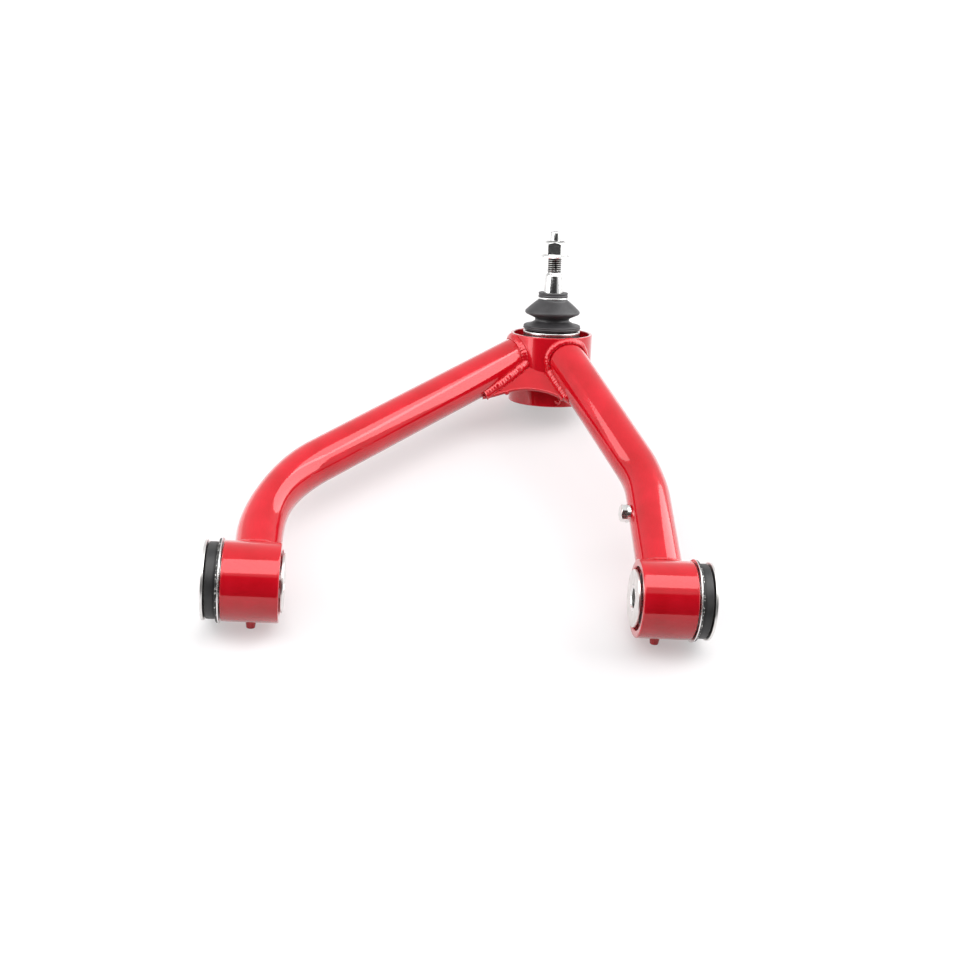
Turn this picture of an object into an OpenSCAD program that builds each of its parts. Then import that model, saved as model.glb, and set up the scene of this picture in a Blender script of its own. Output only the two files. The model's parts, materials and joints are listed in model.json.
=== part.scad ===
// Tubular suspension control arm with two rubber pivot bushes and a pressed-in ball joint.
// Origin: centre of the short leg's bush, on the pivot axis. +X runs along the pivot axis,
// +Y points out towards the wheel and +Z is up as the arm lies on the bench, stud upwards.

/* [Arm layout] */
// Distance between the two barrels along the pivot axis
barrel_spacing = 330; // [260:1:420]
// Distance from the pivot axis out to the ball joint, along the arm's slope
ball_reach = 330; // [270:1:420]
// How far the ball joint sits from the short leg's barrel, along the pivot axis
ball_offset = 69; // [30:1:160]
// Slope from the pivot axis up to the ball joint as the arm lies on the bench
arm_tilt = 6; // [0:0.5:12]
// Slope of the long tube's plane
long_tilt = 3.9; // [0:0.1:12]
// Slope of the short tube's plane
short_tilt = 6.5; // [0:0.1:12]
// Lean of the ball joint's axis, away from the pivot axis, from square to the arm's slope
ball_lean = 30.4; // [10:0.2:40]
// Sideways lean of the ball joint's axis
ball_side_lean = -2.3; // [-8:0.1:8]

/* [Tubes] */
// Outside diameter of the two arm tubes
tube_od = 38.1; // [28:0.1:42]
// Wall of the arm tubes
tube_wall = 3.2; // [2:0.1:6]
// Centre-line radius of the bend in each tube
bend_radius = 135; // [90:1:160]
// Distance from the pivot axis to the corner of the long tube's bend
long_corner = 107.8; // [98:0.1:130]
// Distance from the pivot axis to the corner of the short tube's bend
short_corner = 136.8; // [100:0.1:170]
// How far the long tube sits from the middle of its barrel, towards the short leg
long_shift = 2; // [0:0.2:3]
// How far the short tube sits from the middle of its barrel, away from the long leg
short_shift = 1; // [0:0.2:3]
// How far the long tube's centre line passes the ball joint's axis, on the long leg's side
long_pass = 15.6; // [0:0.2:18]
// How far the short tube's centre line passes the ball joint's axis, on the long leg's side
short_pass = 2.4; // [0:0.2:12]

/* [Barrels and bushes] */
// Outside diameter of the bush barrels
barrel_od = 64; // [62:0.5:76]
// Length of the bush barrels
barrel_length = 45; // [40:0.5:70]
// Wall of the bush barrels
barrel_wall = 6; // [4:0.25:9]
// Wall of the bush's outer steel shell
shell_wall = 2; // [1:0.1:3]
// Outside diameter of the shell's flange
shell_flange_od = 67.5; // [66:0.5:90]
// Thickness of the shell's flange
shell_flange_thickness = 1; // [1:0.1:3]
// Clear gap between the barrel's outer face and the shell's flange
shell_flange_gap = 0.8; // [0.3:0.1:2]
// Outside diameter of the rubber collar outside the barrel
collar_od = 61; // [50:0.5:84]
// Length of the rubber collar outside the flange
collar_length = 10.4; // [5:0.1:20]
// Height of the rubber lip that runs out over the flange's face
collar_lip = 2.2; // [1:0.1:4]
// Depth that the shell and rubber stop short of the barrel's inner face
bush_recess = 6; // [0.5:0.5:8]
// Outside diameter of the sleeve inside the rubber
sleeve_od = 26; // [25:0.5:32]
// Bore of the sleeve, for the pivot bolt
sleeve_bore = 16.4; // [10:0.1:18]
// Outside diameter of the sleeve's stepped ends
sleeve_spigot_od = 22; // [20.5:0.5:24]
// Chamfer at both ends of the sleeve's bore
bore_chamfer = 0.9; // [0.3:0.1:1]
// Outside diameter of the washer on the outer end of the bush
outer_washer_od = 63.5; // [40:0.5:86]
// Outside diameter of the washer on the inner end of the bush
inner_washer_od = 47; // [34:0.5:51]
// Thickness of both washers
washer_thickness = 2; // [1.5:0.1:4]
// Clear gap between the rubber collar and the outer washer
outer_washer_gap = 0.7; // [0.3:0.1:3]
// Clear gap between the barrel's inner face and the inner washer
inner_washer_gap = 0.8; // [0.3:0.1:4]

/* [Barrel pegs] */
// Diameter of a peg where it leaves the barrel
peg_base_d = 9.5; // [5:0.5:14]
// Diameter of a peg's tip
peg_tip_d = 7.2; // [3:0.1:12]
// How far a peg stands out of the barrel
peg_length = 7.5; // [2:0.5:15]
// Angle of the pegs from straight down, away from the ball joint
peg_angle = 18.7; // [0:0.1:45]
// How far the short leg's peg sits from the middle of its barrel, towards the long leg
short_peg_shift = 3; // [0:0.5:12]

/* [Ball joint cup] */
// Outside diameter of the cup
cup_od = 79; // [76:0.5:96]
// Wall of the cup
cup_wall = 3; // [2:0.25:5]
// Height of the cup
cup_height = 66; // [60:0.1:90]
// Height of the cup's rim above the arm's slope, along its axis
rim_rise = 5.4; // [0:0.1:12]
// Depth of the seat ring's top below the cup's rim
seat_depth = 10; // [8:0.5:14]
// Thickness of the seat ring welded into the cup
seat_thickness = 12; // [8:0.5:15]

/* [Gusset] */
// Thickness of the gusset plate between the tubes
gusset_thickness = 3.5; // [2.5:0.5:6]
// Slope of the gusset, down towards the pivot axis
gusset_slope = 15.2; // [6:0.1:22]
// Sideways slope of the gusset, up towards the short leg
gusset_roll = 7.4; // [0:0.1:14]
// Depth below the cup's rim at which the gusset's top face would cross the cup's axis
gusset_depth = 0; // [-3:0.5:4]
// Distance from the cup's axis to the middle of the gusset's curved edge
gusset_nose = 73; // [62:1:85]
// Radius of the gusset's curved edge
gusset_edge_radius = 51; // [40:1:80]

/* [Ball joint] */
// Diameter of the ball
ball_d = 30; // [28:0.5:31]
// Depth of the ball's centre below the cup's rim
ball_depth = 14; // [12:0.5:16]
// Diameter of the housing where it is pressed into the seat ring
housing_od = 50; // [46:0.5:54]
// Diameter of the housing's collar, which rests on the seat ring
housing_collar_od = 54; // [52:0.5:58]
// Outside diameter of the plastic races round the ball
race_od = 38; // [35:0.5:40]
// Thickness of the lower race below the ball's centre
race_depth = 12; // [10:0.25:13]
// Thickness of the pressure plate under the lower race
pressure_plate_thickness = 2; // [1:0.25:2.5]
// Height of the preload spring washer
spring_height = 5; // [4:0.25:6]
// Diameter of the end cap
end_cap_od = 42; // [40:0.5:44]
// Thickness of the end cap
end_cap_thickness = 3; // [2:0.25:4]
// Thickness of the snap ring under the seat ring
snap_ring_thickness = 2; // [1:0.1:3]
// Outside diameter of the snap ring
snap_ring_od = 56; // [52:0.5:60]

/* [Dust boot] */
// Outside diameter of the steel ring that clamps the boot
boot_ring_od = 55; // [50:0.5:60]
// Height of the steel ring that clamps the boot
boot_ring_height = 3.2; // [2:0.1:5]
// Outside diameter of the boot's lower fold
boot_lower_d = 56; // [50:0.5:62]
// Outside diameter of the boot at its waist
boot_waist_d = 33; // [32:0.5:40]
// Outside diameter of the boot's upper fold
boot_upper_d = 53; // [44:0.5:60]
// Outside diameter of the boot's lip round the stud
boot_lip_d = 28.6; // [26:0.2:34]
// Height of the boot's lip
boot_lip_height = 4.4; // [3:0.1:7]
// Height of the boot's top above the cup's rim, with its lip
boot_top = 39.3; // [36:0.2:46]
// Wall of the boot
boot_wall = 1.8; // [1.2:0.1:2.5]

/* [Stud and nut] */
// Diameter of the stud's neck above the ball
neck_d = 17; // [12:0.5:18]
// Diameter of the taper at its small end
taper_small_d = 16.5; // [15:0.1:18]
// Length of taper above the boot
taper_length = 16.6; // [10:0.2:26]
// Rise of the taper for each millimetre of diameter
taper_ratio = 8; // [6:0.5:12]
// Nominal diameter of the stud's thread
thread_d = 14; // [10:1:16]
// Pitch of the stud's thread
thread_pitch = 2; // [1.25:0.25:2]
// Length of the stud's thread
thread_length = 29.6; // [24:0.5:40]
// Diameter of the plain tip above the thread
tip_d = 10.4; // [6:0.2:11]
// Length of the plain tip above the thread
tip_length = 9; // [3:0.2:14]
// Distance across the nut's flats
nut_flats = 21; // [19:0.5:27]
// Height of the nut with its flange
nut_height = 15.5; // [10:0.5:18]
// Diameter of the nut's flange
nut_flange_d = 29.5; // [26:0.5:38]
// Thickness of the nut's flange at its rim
nut_flange_thickness = 2; // [1:0.25:3]
// Turn of the nut on the stud
nut_turn = -11; // [-30:1:30]

/* [Line bracket fixing] */
// Distance from the pivot axis to the line bracket bolt on the short tube
line_bolt_y = 95; // [60:1:110]
// Thread diameter of the line bracket bolt
line_bolt_d = 8; // [6:1:10]
// Distance across the flats of the line bracket bolt's head
line_bolt_flats = 13; // [10:0.5:17]
// Height of the line bracket bolt's head
line_bolt_head = 5.3; // [3:0.1:7]
// Length of the line bracket bolt under its head
line_bolt_length = 16; // [12:1:20]
// Outside diameter of the washer under the bolt's head
line_washer_od = 16; // [14:0.5:20]

/* [Fits] */
// Radial clearance of the sleeves, races and ball in what they turn in
running_gap = 0.05; // [0.02:0.01:0.1]
// Radial clearance in the solids between pieces pressed together
press_gap = 0.02; // [0:0.01:0.05]
// Clear gap between the ends of pieces that turn past each other
end_gap = 0.3; // [0.2:0.05:0.6]

/* [Hidden] */
$fn = 96;

// The long leg's bush faces -X and the short leg's faces +X
LONG = -1;
SHORT = 1;

// Arm
tube_r = tube_od / 2;
barrel_r = barrel_od / 2;
cup_r = cup_od / 2;
cup_inner_r = cup_r - cup_wall;
bend_lap = 1;
bend_step = 0.05;
joint_pitch = arm_tilt - ball_lean;
joint_way = [sin(ball_side_lean), -sin(joint_pitch) * cos(ball_side_lean),
             cos(joint_pitch) * cos(ball_side_lean)];
slope_point = [-ball_offset, ball_reach * cos(arm_tilt), ball_reach * sin(arm_tilt)];
rim_centre = slope_point + rim_rise * joint_way;

// Legs, each in its own plane through the pivot axis
function leg_tilt(side) = side == LONG ? long_tilt : short_tilt;
function leg_pass(side) = side == LONG ? long_pass : short_pass;
function leg_corner(side) =
    side == LONG ? [long_shift - barrel_spacing, long_corner] : [short_shift, short_corner];

// Where the ball joint's axis crosses a leg's plane
function axis_crossing(side) =
    let (slope = tan(leg_tilt(side)),
         along = (slope_point[1] * slope - slope_point[2]) / (joint_way[2] - joint_way[1] * slope),
         point = slope_point + along * joint_way)
    [point[0], point[1] / cos(leg_tilt(side))];

// A leg's straight run, from its corner to the point nearest the ball joint's axis
function leg_run(side) =
    let (aim = axis_crossing(side) - leg_corner(side),
         turn = atan2(aim[0], aim[1]) - asin(leg_pass(side) / norm(aim)))
    sqrt(pow(norm(aim), 2) - pow(leg_pass(side), 2)) * [sin(turn), cos(turn)];

// Gusset, in its own plane with the cup's axis at the origin
gusset_wedge = 1.3 * gusset_nose;

// A step in plan, seen in the gusset's plane
function on_gusset(step) =
    let (out = step[1] / cos(gusset_slope))
    [(step[0] + out * sin(gusset_slope) * sin(gusset_roll)) / cos(gusset_roll), out];

// The end of a leg's run at the cup, and the way back along the leg
function leg_foot(side) =
    let (end = leg_corner(side) + leg_run(side))
    on_gusset([end[0] - rim_centre[0], end[1] * cos(leg_tilt(side)) - rim_centre[1]]);
function leg_way(side) =
    let (back = on_gusset([-leg_run(side)[0], -leg_run(side)[1] * cos(leg_tilt(side))]))
    back / norm(back);

// Bush, measured along X from the middle of its barrel towards the outside of the arm
bore_r = barrel_r - barrel_wall;
shell_r = bore_r - press_gap;
rubber_r = shell_r - shell_wall;
face_x = barrel_length / 2;
bush_inner_x = bush_recess - face_x;
flange_start_x = face_x + shell_flange_gap;
flange_x = flange_start_x + shell_flange_thickness;
lip_x = flange_x + collar_lip;
lip_r = shell_flange_od / 2 - 0.5;
collar_x = flange_x + collar_length;
outer_washer_x = collar_x + outer_washer_gap;
bush_outer_x = outer_washer_x + washer_thickness;
inner_washer_x = -face_x - inner_washer_gap;
bush_end_x = inner_washer_x - washer_thickness;

// Ball joint, with heights along its axis from the cup's rim
ball_r = ball_d / 2;
ball_h = -ball_depth;
ball_flat = 1.5;
seat_bottom = -seat_depth - seat_thickness;
housing_top = -0.8;
race_r = race_od / 2;
race_top = ball_h + ball_r / 2 + 1;
race_bottom = ball_h - race_depth;
mouth_r = 0.9 * ball_r;
mouth_h = ball_h + sqrt(pow(ball_r, 2) - pow(mouth_r, 2));
housing_mouth_r = 17.5;
lip_mouth_r = 14.5;
plate_bottom = race_bottom - pressure_plate_thickness;
plate_hole_r = sqrt(pow(ball_r, 2) - pow(race_depth, 2)) + 1;
cap_top = plate_bottom - spring_height;
spring_bottom = cap_top + press_gap;
spring_sheet = 1;
housing_bottom = cap_top - end_cap_thickness;
end_cap_r = end_cap_od / 2;
snap_ring_r = housing_od / 2 - 1.5;
snap_ring_gap = 6;
fitting_r = 3;
fitting_flats = 9;
fitting_base = 4;
nipple_length = 7;
nipple_root_length = 4;
nipple_head_length = 1.5;
nipple_neck_r = 2.2;
nipple_head_r = 3.2;
nipple_tip_r = 1.6;
nipple_bore_r = 0.8;

// Boot
boot_ring_top = housing_top + boot_ring_height;
boot_bead_r = boot_ring_od / 2 - 4;
boot_bead_top = boot_ring_top + 0.4;
boot_lower_h = boot_ring_top + 3;
boot_waist_h = 13.2;
boot_upper_h = 20.5;
lower_fold_r = 2.6;
waist_fold_r = 2.2;
upper_fold_r = 2.2;
fold_under_lean = 20;
fold_over_lean = 40;
garter_height = 1;
lip_bottom = boot_top - boot_lip_height;
garter_bottom = lip_bottom - garter_height;
boot_end = garter_bottom - end_gap;
boot_end_r = boot_lip_d / 2 - 0.4;
boot_end_height = 1.2;

// Stud
taper_top = boot_top + taper_length;
taper_small_r = taper_small_d / 2;
function taper_r(h) = taper_small_r + (taper_top - h) / taper_ratio / 2;
taper_in_boot = 10;
taper_start = boot_top - taper_in_boot;
neck_cone = 6;
neck_top = taper_start - neck_cone;
neck_r = neck_d / 2;
thread_r = thread_d / 2;
thread_depth = 0.54 * thread_pitch;
thread_root_r = thread_r - thread_depth;
thread_shoulder = 2.7;
thread_start = taper_top + thread_shoulder;
thread_end = thread_start + thread_length;
thread_turns = floor(thread_length / thread_pitch);
tip_r = tip_d / 2;
tip_top = thread_end + tip_length;
tip_chamfer = 1;
socket_flats = 5;
socket_depth = 5;
nut_top = thread_end - end_gap;
nut_bottom = nut_top - nut_height;
nut_corner_r = nut_flats / 2 / cos(30);
nut_bore_r = thread_r + press_gap;
nut_skirt = 2.5;
lock_ring_width = 2.4;
lock_ring_r = thread_r + lock_ring_width;
lock_ring_height = 3;
lock_ring_depth = 0.8;

// Line bracket fixing, measured from the short tube's centre line
insert_wall = 1.5;
insert_r = line_bolt_d / 2 + insert_wall;
insert_flange_r = insert_r + 2;
insert_flange = 1;
insert_length = 18;
line_washer_thickness = 1.6;
line_washer_play = 0.2;
line_washer_x = tube_r + insert_flange;
line_head_x = line_washer_x + line_washer_thickness;

PAINT_RED = [0.72, 0.02, 0.05];
ZINC = [0.78, 0.78, 0.76];
STEEL = [0.60, 0.60, 0.58];
CAST_STEEL = [0.35, 0.35, 0.36];
RUBBER_BLACK = [0.06, 0.06, 0.06];
NYLON = [0.85, 0.84, 0.78];

// --- Frames and shared shapes ---

// A leg's plane, sloping up from the pivot axis
module in_leg(side) {
    rotate([leg_tilt(side), 0, 0]) children();
}

// The ball joint's own frame: origin in the middle of the cup's rim, Z along the stud
module at_ball_joint() {
    translate(rim_centre)
        rotate([joint_pitch, 0, 0])
            rotate([0, ball_side_lean, 0]) children();
}

// A bush's own frame: Z runs out of the arm along the pivot axis
module at_bush(side) {
    translate([side == LONG ? -barrel_spacing : 0, 0, 0])
        rotate([0, side * 90, 0]) children();
}

// A round collar between two heights
module ring(outer_r, inner_r, bottom, top) {
    translate([0, 0, bottom])
        difference() {
            cylinder(r = outer_r, h = top - bottom);
            translate([0, 0, -1]) cylinder(r = inner_r, h = top - bottom + 2);
        }
}

// A solid round bar between two heights
module bar(r, bottom, top) {
    translate([0, 0, bottom]) cylinder(r = r, h = top - bottom);
}

// A cone between two heights
module cone(r_bottom, r_top, bottom, top) {
    translate([0, 0, bottom]) cylinder(r1 = r_bottom, r2 = r_top, h = top - bottom);
}

// A hexagonal bar between two heights, given its distance across flats
module hexagon(flats, bottom, top) {
    translate([0, 0, bottom]) cylinder(r = flats / 2 / cos(30), h = top - bottom, $fn = 6);
}

// --- Arm ---

// A round rod of radius r along a leg's centre line, from the pivot axis to the cup's axis.
// The bend is thinner by bend_step and its ends lie inside the straights, so all three fuse.
module leg_path(side, r) {
    x = leg_corner(side)[0];
    corner = leg_corner(side)[1];
    run = leg_run(side);
    turn = atan2(run[0], run[1]);
    way = sign(turn);
    tangent = bend_radius * tan(abs(turn) / 2);
    bend_start = corner - tangent;
    in_leg(side) {
        translate([x, 0, 0]) rotate([-90, 0, 0]) cylinder(r = r, h = bend_start + bend_lap);
        translate([x + way * bend_radius, bend_start, 0])
            rotate([0, 0, way > 0 ? 180 - turn : 0])
                rotate_extrude(angle = abs(turn)) translate([bend_radius, 0])
                    circle(r = r - bend_step);
        translate([x, corner, 0])
            rotate([-90, 0, -turn])
                translate([0, 0, tangent - bend_lap])
                    cylinder(r = r, h = norm(run) - tangent + bend_lap);
    }
}

// What the legs' ends are coped to fit: the barrels and the cup
module barrel_envelope(side) {
    at_bush(side) bar(barrel_r, -barrel_length, barrel_length);
}

module cup_envelope() {
    at_ball_joint() bar(cup_r, -2 * cup_height, cup_height);
}

module leg_tube(side) {
    difference() {
        leg_path(side, tube_r);
        leg_path(side, tube_r - tube_wall);
        barrel_envelope(side);
        cup_envelope();
    }
}

module long_tube() {
    color(PAINT_RED) leg_tube(LONG);
}

module short_tube() {
    color(PAINT_RED) difference() {
        leg_tube(SHORT);
        at_line_fixing() bar(insert_r + press_gap, tube_r - 2 * tube_wall, tube_r + 1);
    }
}

module barrel(side) {
    color(PAINT_RED) at_bush(side) ring(barrel_r, bore_r, -face_x, face_x);
}

module barrel_peg(side) {
    color(PAINT_RED) difference() {
        translate([side == LONG ? -barrel_spacing : -short_peg_shift, 0, 0])
            rotate([180 - peg_angle, 0, 0])
                cone(peg_base_d / 2, peg_tip_d / 2, barrel_r - 2, barrel_r + peg_length);
        barrel_envelope(side);
    }
}

module ball_joint_cup() {
    color(PAINT_RED) at_ball_joint() ring(cup_r, cup_inner_r, -cup_height, 0);
}

module gusset_plate() {
    middle_way = (leg_way(LONG) + leg_way(SHORT)) / norm(leg_way(LONG) + leg_way(SHORT));
    color(PAINT_RED) difference() {
        translate(rim_centre - gusset_depth * joint_way)
            rotate([gusset_slope, -gusset_roll, 0])
                translate([0, 0, -gusset_thickness]) linear_extrude(gusset_thickness)
                    difference() {
                        polygon([leg_foot(LONG), leg_foot(LONG) + gusset_wedge * leg_way(LONG),
                                 leg_foot(SHORT) + gusset_wedge * leg_way(SHORT),
                                 leg_foot(SHORT)]);
                        translate((gusset_nose + gusset_edge_radius) * middle_way)
                            circle(r = gusset_edge_radius);
                    }
        leg_path(LONG, tube_r);
        leg_path(SHORT, tube_r);
        cup_envelope();
    }
}

module ball_joint_seat() {
    color(PAINT_RED) at_ball_joint()
        ring(cup_inner_r - press_gap, housing_od / 2, seat_bottom, -seat_depth);
}

// --- Pivot bushes ---

module bush_shell(side) {
    color(ZINC) at_bush(side) {
        ring(shell_r, rubber_r, bush_inner_x, flange_x);
        ring(shell_flange_od / 2, rubber_r, flange_start_x, flange_x);
    }
}

module bush_rubber(side) {
    color(RUBBER_BLACK) at_bush(side) difference() {
        union() {
            bar(rubber_r - press_gap, bush_inner_x, lip_x);
            cone(lip_r, collar_od / 2, flange_x, lip_x);
            bar(collar_od / 2, flange_x, collar_x);
        }
        bar(sleeve_od / 2 + running_gap, bush_inner_x - 1, collar_x + 1);
    }
}

module bush_sleeve(side) {
    color(ZINC) at_bush(side) difference() {
        union() {
            bar(sleeve_od / 2, inner_washer_x, outer_washer_x);
            bar(sleeve_spigot_od / 2, bush_end_x, bush_outer_x);
        }
        bar(sleeve_bore / 2, bush_end_x - 1, bush_outer_x + 1);
        cone(sleeve_bore / 2 + bore_chamfer, sleeve_bore / 2, bush_end_x,
             bush_end_x + bore_chamfer);
        cone(sleeve_bore / 2, sleeve_bore / 2 + bore_chamfer, bush_outer_x - bore_chamfer,
             bush_outer_x);
    }
}

module outer_washer(side) {
    color(STEEL) at_bush(side)
        ring(outer_washer_od / 2, sleeve_spigot_od / 2 + press_gap, outer_washer_x, bush_outer_x);
}

module inner_washer(side) {
    color(STEEL) at_bush(side)
        ring(inner_washer_od / 2, sleeve_spigot_od / 2 + press_gap, bush_end_x, inner_washer_x);
}

// --- Ball joint ---

module ball_joint_housing() {
    color(CAST_STEEL) at_ball_joint() difference() {
        union() {
            bar(housing_collar_od / 2, -seat_depth, housing_top);
            bar(housing_od / 2 - press_gap, housing_bottom, -seat_depth);
        }
        bar(race_r + running_gap, housing_bottom - 1, race_top + end_gap);
        cone(lip_mouth_r, housing_mouth_r, race_top, housing_top);
        bar(housing_mouth_r, housing_top - 0.01, housing_top + 1);
        bar(end_cap_r + press_gap, housing_bottom - 1, cap_top);
        ring(housing_od, snap_ring_r, seat_bottom - snap_ring_thickness - press_gap,
             seat_bottom);
    }
}

module upper_race() {
    color(NYLON) at_ball_joint() difference() {
        bar(race_r, ball_h + end_gap / 2, race_top);
        translate([0, 0, ball_h]) sphere(r = ball_r + running_gap);
        cone(mouth_r, lip_mouth_r, mouth_h, race_top);
        bar(lip_mouth_r, race_top - 0.01, race_top + 1);
    }
}

module lower_race() {
    color(NYLON) at_ball_joint() difference() {
        bar(race_r, race_bottom, ball_h - end_gap / 2);
        translate([0, 0, ball_h]) sphere(r = ball_r + running_gap);
    }
}

module pressure_plate() {
    color(STEEL) at_ball_joint() ring(race_r - 1, plate_hole_r, plate_bottom, race_bottom);
}

// A disc spring: a shallow cone with a hole in the middle
module preload_spring() {
    outer = race_r - 2;
    inner = plate_hole_r;
    color(STEEL) at_ball_joint() rotate_extrude()
        polygon([[inner, plate_bottom - spring_sheet], [inner, plate_bottom],
                 [outer, spring_bottom + spring_sheet], [outer, spring_bottom]]);
}

module end_cap() {
    color(STEEL) at_ball_joint() ring(end_cap_r, fitting_r + press_gap, housing_bottom, cap_top);
}

module snap_ring() {
    bottom = seat_bottom - snap_ring_thickness;
    color(CAST_STEEL) at_ball_joint() difference() {
        ring(snap_ring_od / 2, snap_ring_r, bottom, seat_bottom);
        translate([0, snap_ring_r, bottom - 1])
            linear_extrude(snap_ring_thickness + 2)
                square([snap_ring_gap, snap_ring_od], center = true);
    }
}

module grease_fitting() {
    base = housing_bottom - fitting_base;
    tip = base - nipple_length;
    neck = tip + nipple_head_length;
    root = base - nipple_root_length;
    color(ZINC) at_ball_joint() difference() {
        union() {
            bar(fitting_r, base, cap_top);
            hexagon(fitting_flats, base, housing_bottom);
            cone(nipple_neck_r, fitting_r, root, base);
            bar(nipple_neck_r, neck, root);
            cone(nipple_tip_r, nipple_head_r, tip, neck);
        }
        bar(nipple_bore_r, tip - 1, cap_top + 1);
    }
}

// --- Dust boot ---

module boot_ring() {
    color(ZINC) at_ball_joint()
        ring(boot_ring_od / 2, boot_bead_r + press_gap, housing_top, boot_ring_top);
}

// Points of a round fold from one angle to another, in the boot's half profile
function fold(centre, r, from, to, steps = 8) =
    [for (i = [0:steps]) let (a = from + (to - from) * i / steps)
        centre + r * [cos(a), sin(a)]];

// The boot's half profile, inset from its outside by t
function boot_side(t) = concat(
    [[boot_bead_r - t, housing_top + press_gap], [boot_bead_r - t, boot_bead_top]],
    fold([boot_lower_d / 2 - lower_fold_r, boot_lower_h], lower_fold_r - t, -90, 90),
    fold([boot_waist_d / 2 + waist_fold_r, boot_waist_h], waist_fold_r + t,
         270 - fold_under_lean, 90 + fold_under_lean),
    fold([boot_upper_d / 2 - upper_fold_r, boot_upper_h], upper_fold_r - t,
         fold_under_lean - 90, 90 - fold_over_lean),
    [[boot_end_r - t, boot_end - boot_end_height], [boot_end_r - t, boot_end]]);

module dust_boot() {
    outside = boot_side(0);
    inside = boot_side(boot_wall);
    count = len(inside);
    color(RUBBER_BLACK) at_ball_joint() rotate_extrude()
        polygon(concat(outside, [for (i = [1:count]) inside[count - i]]));
}

module boot_lip() {
    color(RUBBER_BLACK) at_ball_joint() difference() {
        bar(boot_lip_d / 2, lip_bottom, boot_top);
        cone(taper_r(lip_bottom - 1) + running_gap, taper_r(boot_top + 1) + running_gap,
             lip_bottom - 1, boot_top + 1);
    }
}

module garter_ring() {
    color(ZINC) at_ball_joint()
        ring(boot_lip_d / 2 + 0.2, taper_r(garter_bottom) + 1, garter_bottom, lip_bottom);
}

// --- Stud and nut ---

// The threaded length as a row of vee grooves, open at both ends
module stud_thread() {
    color(ZINC) rotate_extrude()
        polygon(concat(
            [[0, thread_start - 1], [thread_root_r, thread_start - 1]],
            [for (i = [0:thread_turns - 1]) each
                [[thread_root_r, thread_start + i * thread_pitch],
                 [thread_r, thread_start + (i + 0.5) * thread_pitch]]],
            [[thread_root_r, thread_start + thread_turns * thread_pitch],
             [thread_root_r, thread_end], [0, thread_end]]));
}

module ball_stud() {
    color(STEEL) at_ball_joint() difference() {
        union() {
            translate([0, 0, ball_h]) sphere(r = ball_r);
            bar(neck_r, ball_h, neck_top);
            cone(neck_r, taper_r(taper_start), neck_top, taper_start);
            cone(taper_r(taper_start), taper_small_r, taper_start, taper_top);
            cone(taper_small_r, thread_root_r, taper_top, thread_start);
            stud_thread();
            bar(tip_r, thread_end - 1, tip_top - tip_chamfer);
            cone(tip_r, tip_r - tip_chamfer, tip_top - tip_chamfer, tip_top);
        }
        hexagon(socket_flats, tip_top - socket_depth, tip_top + 1);
        bar(ball_r, ball_h - ball_r - 1, ball_h - ball_r + ball_flat);
    }
}

module stud_nut() {
    chamfer = nut_corner_r - nut_flats / 2;
    color(ZINC) at_ball_joint() difference() {
        union() {
            bar(nut_flange_d / 2, nut_bottom, nut_bottom + nut_flange_thickness);
            cone(nut_flange_d / 2, nut_flats / 2, nut_bottom + nut_flange_thickness,
                 nut_bottom + nut_flange_thickness + nut_skirt);
            intersection() {
                rotate([0, 0, nut_turn]) hexagon(nut_flats, nut_bottom, nut_top);
                union() {
                    bar(nut_corner_r + 1, nut_bottom, nut_top - chamfer);
                    cone(nut_corner_r, nut_flats / 2, nut_top - chamfer, nut_top);
                }
            }
        }
        bar(nut_bore_r, nut_bottom - 1, nut_top + 1);
        bar(lock_ring_r, nut_top - lock_ring_depth - lock_ring_height, nut_top + 1);
    }
}

module nut_lock_ring() {
    top = nut_top - lock_ring_depth;
    color(RUBBER_BLACK) at_ball_joint()
        ring(lock_ring_r - press_gap, nut_bore_r, top - lock_ring_height + press_gap, top);
}

// --- Line bracket fixing on the short tube ---

// Origin on the short tube's centre line, Z out of the arm's inner side
module at_line_fixing() {
    in_leg(SHORT) translate([short_shift, line_bolt_y, 0]) rotate([0, -90, 0]) children();
}

module line_rivet_nut() {
    color(ZINC) at_line_fixing() difference() {
        union() {
            bar(insert_r, line_washer_x - insert_length, line_washer_x);
            bar(insert_flange_r, tube_r, line_washer_x);
        }
        bar(line_bolt_d / 2 + press_gap, line_washer_x - insert_length - 1, line_washer_x + 1);
    }
}

module line_washer() {
    color(ZINC) at_line_fixing()
        ring(line_washer_od / 2, line_bolt_d / 2 + line_washer_play, line_washer_x, line_head_x);
}

module line_bolt() {
    color(ZINC) at_line_fixing() {
        bar(line_bolt_d / 2, line_head_x - line_bolt_length, line_head_x);
        hexagon(line_bolt_flats, line_head_x, line_head_x + line_bolt_head);
    }
}

long_tube();
short_tube();
barrel(LONG);  // long_leg_barrel
barrel(SHORT);  // short_leg_barrel
barrel_peg(LONG);  // long_leg_peg
barrel_peg(SHORT);  // short_leg_peg
ball_joint_cup();
gusset_plate();
ball_joint_seat();
bush_shell(LONG);  // long_bush_shell
bush_shell(SHORT);  // short_bush_shell
bush_rubber(LONG);  // long_bush_rubber
bush_rubber(SHORT);  // short_bush_rubber
bush_sleeve(LONG);  // long_bush_sleeve
bush_sleeve(SHORT);  // short_bush_sleeve
outer_washer(LONG);  // long_outer_washer
outer_washer(SHORT);  // short_outer_washer
inner_washer(LONG);  // long_inner_washer
inner_washer(SHORT);  // short_inner_washer
ball_joint_housing();
upper_race();
lower_race();
pressure_plate();
preload_spring();
end_cap();
snap_ring();
grease_fitting();
boot_ring();
dust_boot();
boot_lip();
garter_ring();
ball_stud();
stud_nut();
nut_lock_ring();
line_rivet_nut();
line_washer();
line_bolt();
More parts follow.
